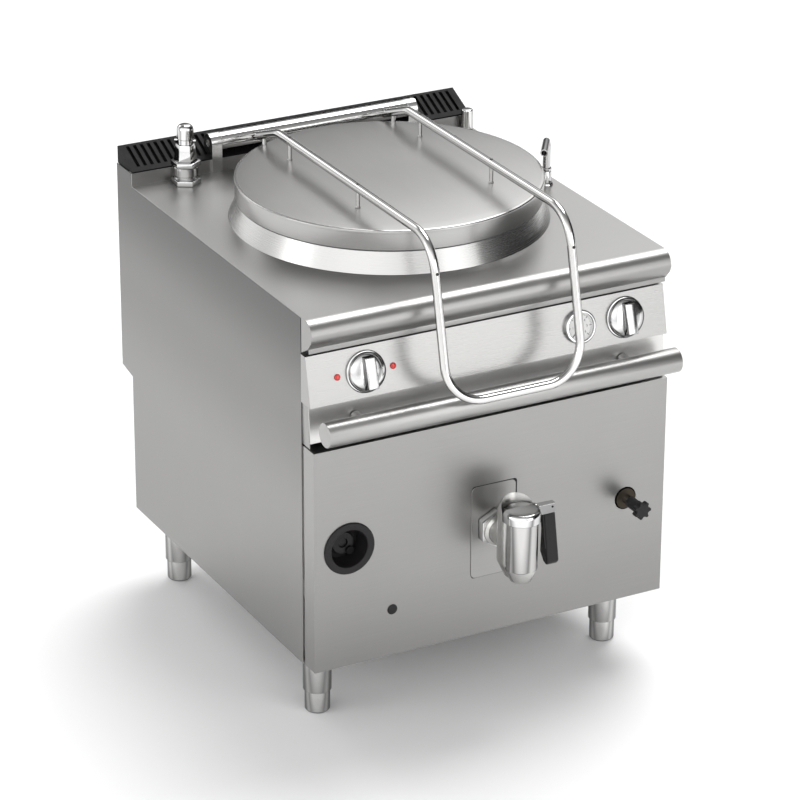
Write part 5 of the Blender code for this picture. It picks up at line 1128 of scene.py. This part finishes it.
# Knobs, bezels and switches
# Each switch stands behind the panel. In front of it a chromed bezel is clipped to the
# sheet, and a chromed knob with a domed skirt and a tall grip bar is pressed on its spindle.
PANEL_TILT = math.radians(12.2)
PANEL_FACING = (math.pi / 2 - PANEL_TILT, 0.0, 0.0)
PANEL_MIDDLE_Y = -0.0240 + math.sin(PANEL_TILT) * 0.0512
PANEL_MIDDLE_Z = 0.8203 - math.cos(PANEL_TILT) * 0.0515
KNOB_XS = {"left": -0.275, "right": 0.306}
GRIP_HEIGHT = 0.0275
GRIP_FOOT = 0.0055
skirt_chrome = metal(
    "knob_chrome", (0.80, 0.80, 0.80, 1.0), 0.13, (300.0, 300.0, 300.0), 0.000006, 0.05, 0.04, 20.0
)
# Painted reflection for the knob's skirt: bright and dark rings toward its outline.
SKIRT_BANDS = [
    (0.0, 0.9), (0.10, 1.0), (0.19, 0.30), (0.27, 1.0), (0.42, 0.55), (0.50, 0.10), (0.90, 0.06), (1.0, 0.3)
]
with_bands(skirt_chrome, SKIRT_BANDS)
bezel = spun("bezel_blank", [
    (0.0044, 0.0024), (0.0320, 0.0024), (0.0338, 0.0030), (0.0350, 0.0040), (0.0400, 0.0040),
    (0.0418, 0.0030), (0.0425, 0.0004), (0.0044, 0.0004), (0.0044, 0.0024),
], 96)
skirt = spun("knob_skirt", (
    [(0.0, -0.0140), (0.0040, -0.0140), (0.0040, 0.0045), (0.0388, 0.0045), (0.0396, 0.0055)]
    + [(0.0392, 0.0098), (0.0376, 0.0124), (0.0330, 0.0152), (0.0250, 0.0172), (0.0120, 0.0183)]
    + [(0.0, 0.0185)]
), 96)
bar = blank("grip_bar", (0.025, 0.070, GRIP_HEIGHT))
picked(bar, lambda corner: corner.z > 0.0)
bpy.ops.transform.resize(value=(0.90, 0.88, 1.0))
bpy.ops.object.mode_set(mode="OBJECT")
picked(bar, lambda corner: corner.z > 0.0 and corner.y > 0.0)
bpy.ops.transform.translate(value=(0.0, 0.0, -0.006))
bpy.ops.object.mode_set(mode="OBJECT")
settled(bar, (0.0, 0.0, GRIP_FOOT + 0.5 * GRIP_HEIGHT))
rounded_edges(bar, 0.0022, 3)
knob = joined("knob_blank", [skirt, bar])
knob_spots = [(at(x, PANEL_MIDDLE_Y, PANEL_MIDDLE_Z), PANEL_FACING) for x in KNOB_XS.values()]
bezels = copies(bezel, ["bezel_shell_" + side for side in KNOB_XS], knob_spots)
knobs = copies(knob, ["knob_shell_" + side for side in KNOB_XS], knob_spots)
for side, bezel, knob in zip(KNOB_XS, bezels, knobs):
    smooth(bezel, 40.0)
    fitted(bezel, chrome, "cabinet", ["bezel_" + side])
    painted("switch_" + side, plastic)
    smooth(knob, 40.0)
    fitted(knob, skirt_chrome, "knob_" + side, ["knob_" + side])


# Pilot lamps
# Two small domed lenses of clear red plastic beside the left knob. Each is pressed into a
# hole of the control panel.
lens = moulded("red_lens", (0.62, 0.018, 0.012, 1.0), 0.16, 60.0, 0.0, 30.0)
shader_of(lens).inputs["Coat Weight"].default_value = 0.6
LAMP_XS = {"left": -0.3365, "right": -0.2157}
lamp = spun("lamp_blank", (
    [(0.0, -0.020), (0.0052, -0.020), (0.0052, 0.0004), (0.0065, 0.0004)]
    + [(0.0064, 0.0016), (0.0055, 0.0027), (0.0038, 0.0033), (0.0, 0.0035)]
), 48)
lamp_spots = [(at(x, PANEL_MIDDLE_Y, PANEL_MIDDLE_Z), PANEL_FACING) for x in LAMP_XS.values()]
for side, piece in zip(LAMP_XS, copies(lamp, ["lamp_shell_" + side for side in LAMP_XS], lamp_spots)):
    smooth(piece, 40.0)
    fitted(piece, lens, "cabinet", ["lamp_" + side])


# Pressure gauge
# A chromed case with a white dial under flat glass. The scale is printed in black, and a
# thin black needle turns over it.
GAUGE = at(0.2008, PANEL_MIDDLE_Y, PANEL_MIDDLE_Z)
GAUGE_RADIUS = 0.0345
DIAL_HEIGHT = 0.0035
DIAL_START = math.radians(225.0)
DIAL_SWEEP = math.radians(270.0)
SCALE_RADIUS = 0.0270
case = settled(spun("gauge_case_shell", (
    [(0.0, -0.0300), (0.0296, -0.0300), (0.0296, 0.0004), (GAUGE_RADIUS, 0.0004), (GAUGE_RADIUS, 0.0070)]
    + quarter((GAUGE_RADIUS - 0.0028, 0.0072), 0.0028, 0.0, 90.0, 5)
    + [(0.0298, 0.0100), (0.0295, 0.0097), (0.0295, DIAL_HEIGHT), (0.0, DIAL_HEIGHT)]
), 96), GAUGE, PANEL_FACING)
smooth(case, 40.0)
fitted(case, chrome, "cabinet", ["gauge_case"])
dial_white = moulded("dial_white", (0.82, 0.82, 0.80, 1.0), 0.45, 300.0, 0.00001)
# A faint emission keeps the dial white: painted light, for the dial sits in the panel's shade.
dial_painted_glow = {"Emission Color": (1.0, 1.0, 0.98, 1.0), "Emission Strength": 0.22}
feed(dial_white.node_tree, shader_of(dial_white), dial_painted_glow)
case.data.materials.append(dial_white)
facing = Matrix.Rotation(PANEL_FACING[0], 3, "X")
for face in case.data.polygons:
    local = facing.transposed() @ (face.center - GAUGE)
    if abs(local.z - DIAL_HEIGHT) < 0.0004 and math.hypot(local.x, local.y) < 0.0294:
        face.material_index = 1
marks = []
for reach, width, count in ((0.0056, 0.0014, 7), (0.0030, 0.0007, 37)):
    bpy.ops.object.select_all(action="DESELECT")
    bpy.ops.mesh.primitive_plane_add(size=1.0)
    mark = bpy.context.object
    mark.scale = (reach, width, 1.0)
    bpy.ops.object.transform_apply(location=False, rotation=False, scale=True)
    middle = SCALE_RADIUS - 0.5 * reach
    turns = [DIAL_START - DIAL_SWEEP * i / (count - 1) for i in range(count)]
    if count > 7:
        turns = [turn for i, turn in enumerate(turns) if i % 6]
    spots = [
        ((middle * math.cos(turn), middle * math.sin(turn), DIAL_HEIGHT + 0.0001), (0.0, 0.0, turn))
        for turn in turns
    ]
    marks += copies(mark, ["mark"] * len(spots), spots)
for i in range(7):
    turn = DIAL_START - DIAL_SWEEP * i / 6
    bpy.ops.object.select_all(action="DESELECT")
    bpy.ops.object.text_add()
    figure = bpy.context.object
    figure.data.body = str(i)
    figure.data.size = 0.0072
    figure.data.align_x = "CENTER"
    figure.data.align_y = "CENTER"
    bpy.ops.object.convert(target="MESH")
    figure = bpy.context.object
    settled(figure, (0.0162 * math.cos(turn), 0.0162 * math.sin(turn), DIAL_HEIGHT + 0.0001))
    marks.append(figure)
ink = moulded("printed_ink", (0.02, 0.02, 0.02, 1.0), 0.5, 300.0, 0.0)
scale_marks = settled(joined("gauge_scale", marks), GAUGE, PANEL_FACING)
fitted(scale_marks, ink, "cabinet", [])
painted("gauge_needle", ink)
glass = new_finish("clear_glass", (0.02, 0.02, 0.02, 1.0), 0.03, 0.0)
shader_of(glass).inputs["Alpha"].default_value = 0.10
painted("gauge_glass", glass)


# Safety valve
# A chromed stem with two hexagons, screwed down through the worktop, with a six-sided
# bonnet and a domed cap on top. A pin through the cap lifts it by hand.
VALVE = at(-0.290, 0.764, WORKTOP_Z)
low_hex = hexagon_block("valve_low_hex", 0.055, 0.0003, 0.0113, 0.0009)
neck = spun("valve_neck", (
    [(0.0, -0.0400), (0.01275, -0.0400), (0.01275, 0.0060), (0.0250, 0.0060), (0.0250, 0.0125)]
    + [(0.0225, 0.0150), (0.0225, 0.0180), (0.0255, 0.0200), (0.0255, 0.0365), (0.0230, 0.0395)]
    + [(0.0230, 0.0450), (0.0, 0.0450)]
), 72)
top_hex = hexagon_block("valve_top_hex", 0.055, 0.0403, 0.0503, 0.0009)
valve = joined("valve_stem_shell", [neck, low_hex, top_hex])
settled(valve, VALVE)
smooth(valve, 30.0)
fitted(valve, chrome, "cabinet", ["valve_stem"])
bonnet = hexagon_block("valve_bonnet_shell", 0.0436, 0.0506, 0.0866, 0.0)
picked(bonnet, lambda corner: corner.z > 0.07)
bpy.ops.transform.resize(value=(0.80, 0.80, 1.0))
bpy.ops.object.mode_set(mode="OBJECT")
rounded_edges(bonnet, 0.0009, 2)
settled(bonnet, VALVE)
smooth(bonnet, 30.0)
fitted(bonnet, chrome, "cabinet", ["valve_bonnet"])
cap_low = 0.0869
dome = spun("valve_dome", (
    [(0.0, cap_low), (0.0160, cap_low), (0.0168, cap_low + 0.0008), (0.0168, cap_low + 0.0105)]
    + [(0.0158, cap_low + 0.0112), (0.0158, cap_low + 0.0120), (0.0178, cap_low + 0.0128)]
    + [(0.0178, cap_low + 0.0150), (0.0174, cap_low + 0.0300)]
    + quarter((0.0064, cap_low + 0.0310), 0.0110, 0.0, 84.0, 9)
    + [(0.0, cap_low + 0.0425)]
), 72)
pin = settled(spun("valve_pin", [
    (0.0, -0.0230), (0.0024, -0.0230), (0.0028, -0.0226), (0.0028, 0.0226), (0.0024, 0.0230),
    (0.0, 0.0230),
], 24), (0.0, 0.0, cap_low + 0.0070), (0.0, math.pi / 2, math.radians(-37.0)))
valve_cap = settled(joined("valve_cap_shell", [dome, pin]), VALVE)
smooth(valve_cap, 40.0)
fitted(valve_cap, chrome, "valve_cap", ["valve_cap"])


# Water spout
# A short chromed fitting stands on the worktop beside the collar, and a bent tube swivels
# in it. The tube is parked outside the lid's edge.
SPOUT_X = 0.368
SPOUT_ARM_Z = 0.999
SPOUT_REACH = 0.088
SPOUT_TURN = math.radians(-56.0)
SPOUT_FOOT = 0.9355
fitting = settled(spun("spout_fitting", [
    (0.0045, -0.0260), (0.0080, -0.0260), (0.0080, 0.0003), (0.0145, 0.0003), (0.0145, 0.0030),
    (0.0128, 0.0055), (0.0105, 0.0070), (0.0105, 0.0300), (0.0100, 0.0310), (0.0105, 0.0320),
    (0.0105, 0.0372), (0.0098, 0.0380), (0.0045, 0.0380), (0.0045, -0.0260),
], 64), at(SPOUT_X, KETTLE_Y, WORKTOP_Z))
smooth(fitting, 40.0)
fitted(fitting, chrome, "cabinet", ["spout_base"])
away = Vector((-math.cos(SPOUT_TURN), math.sin(SPOUT_TURN), 0.0))
foot = at(SPOUT_X, KETTLE_Y, SPOUT_FOOT + 0.0003)
elbow = at(SPOUT_X, KETTLE_Y, SPOUT_ARM_Z)
mouth = elbow + away * SPOUT_REACH
pipe = bent_tube("water_spout_shell", with_bends([foot, elbow, mouth], [0.022], 5.0), 0.008)
bore = bent_tube("spout_bore", [elbow + away * 0.035, mouth + away * 0.01], 0.0057)
hollowed(pipe, bore)
smooth(pipe, 40.0)
fitted(pipe, chrome, "water_spout", ["water_spout"])


# Corner post
# A bright round plug in the worktop's right rear corner, where a neighbouring module's
# rail would be fixed.
post = settled(spun("corner_post_shell", (
    [(0.0, 0.0003), (0.0125, 0.0003), (0.0125, 0.0440)]
    + quarter((0.0097, 0.0442), 0.0028, 0.0, 85.0, 4)
    + [(0.0, 0.0470)]
), 64), at(0.383, 0.777, WORKTOP_Z))
smooth(post, 40.0)
fitted(post, bright_tube, "cabinet", ["corner_post"])
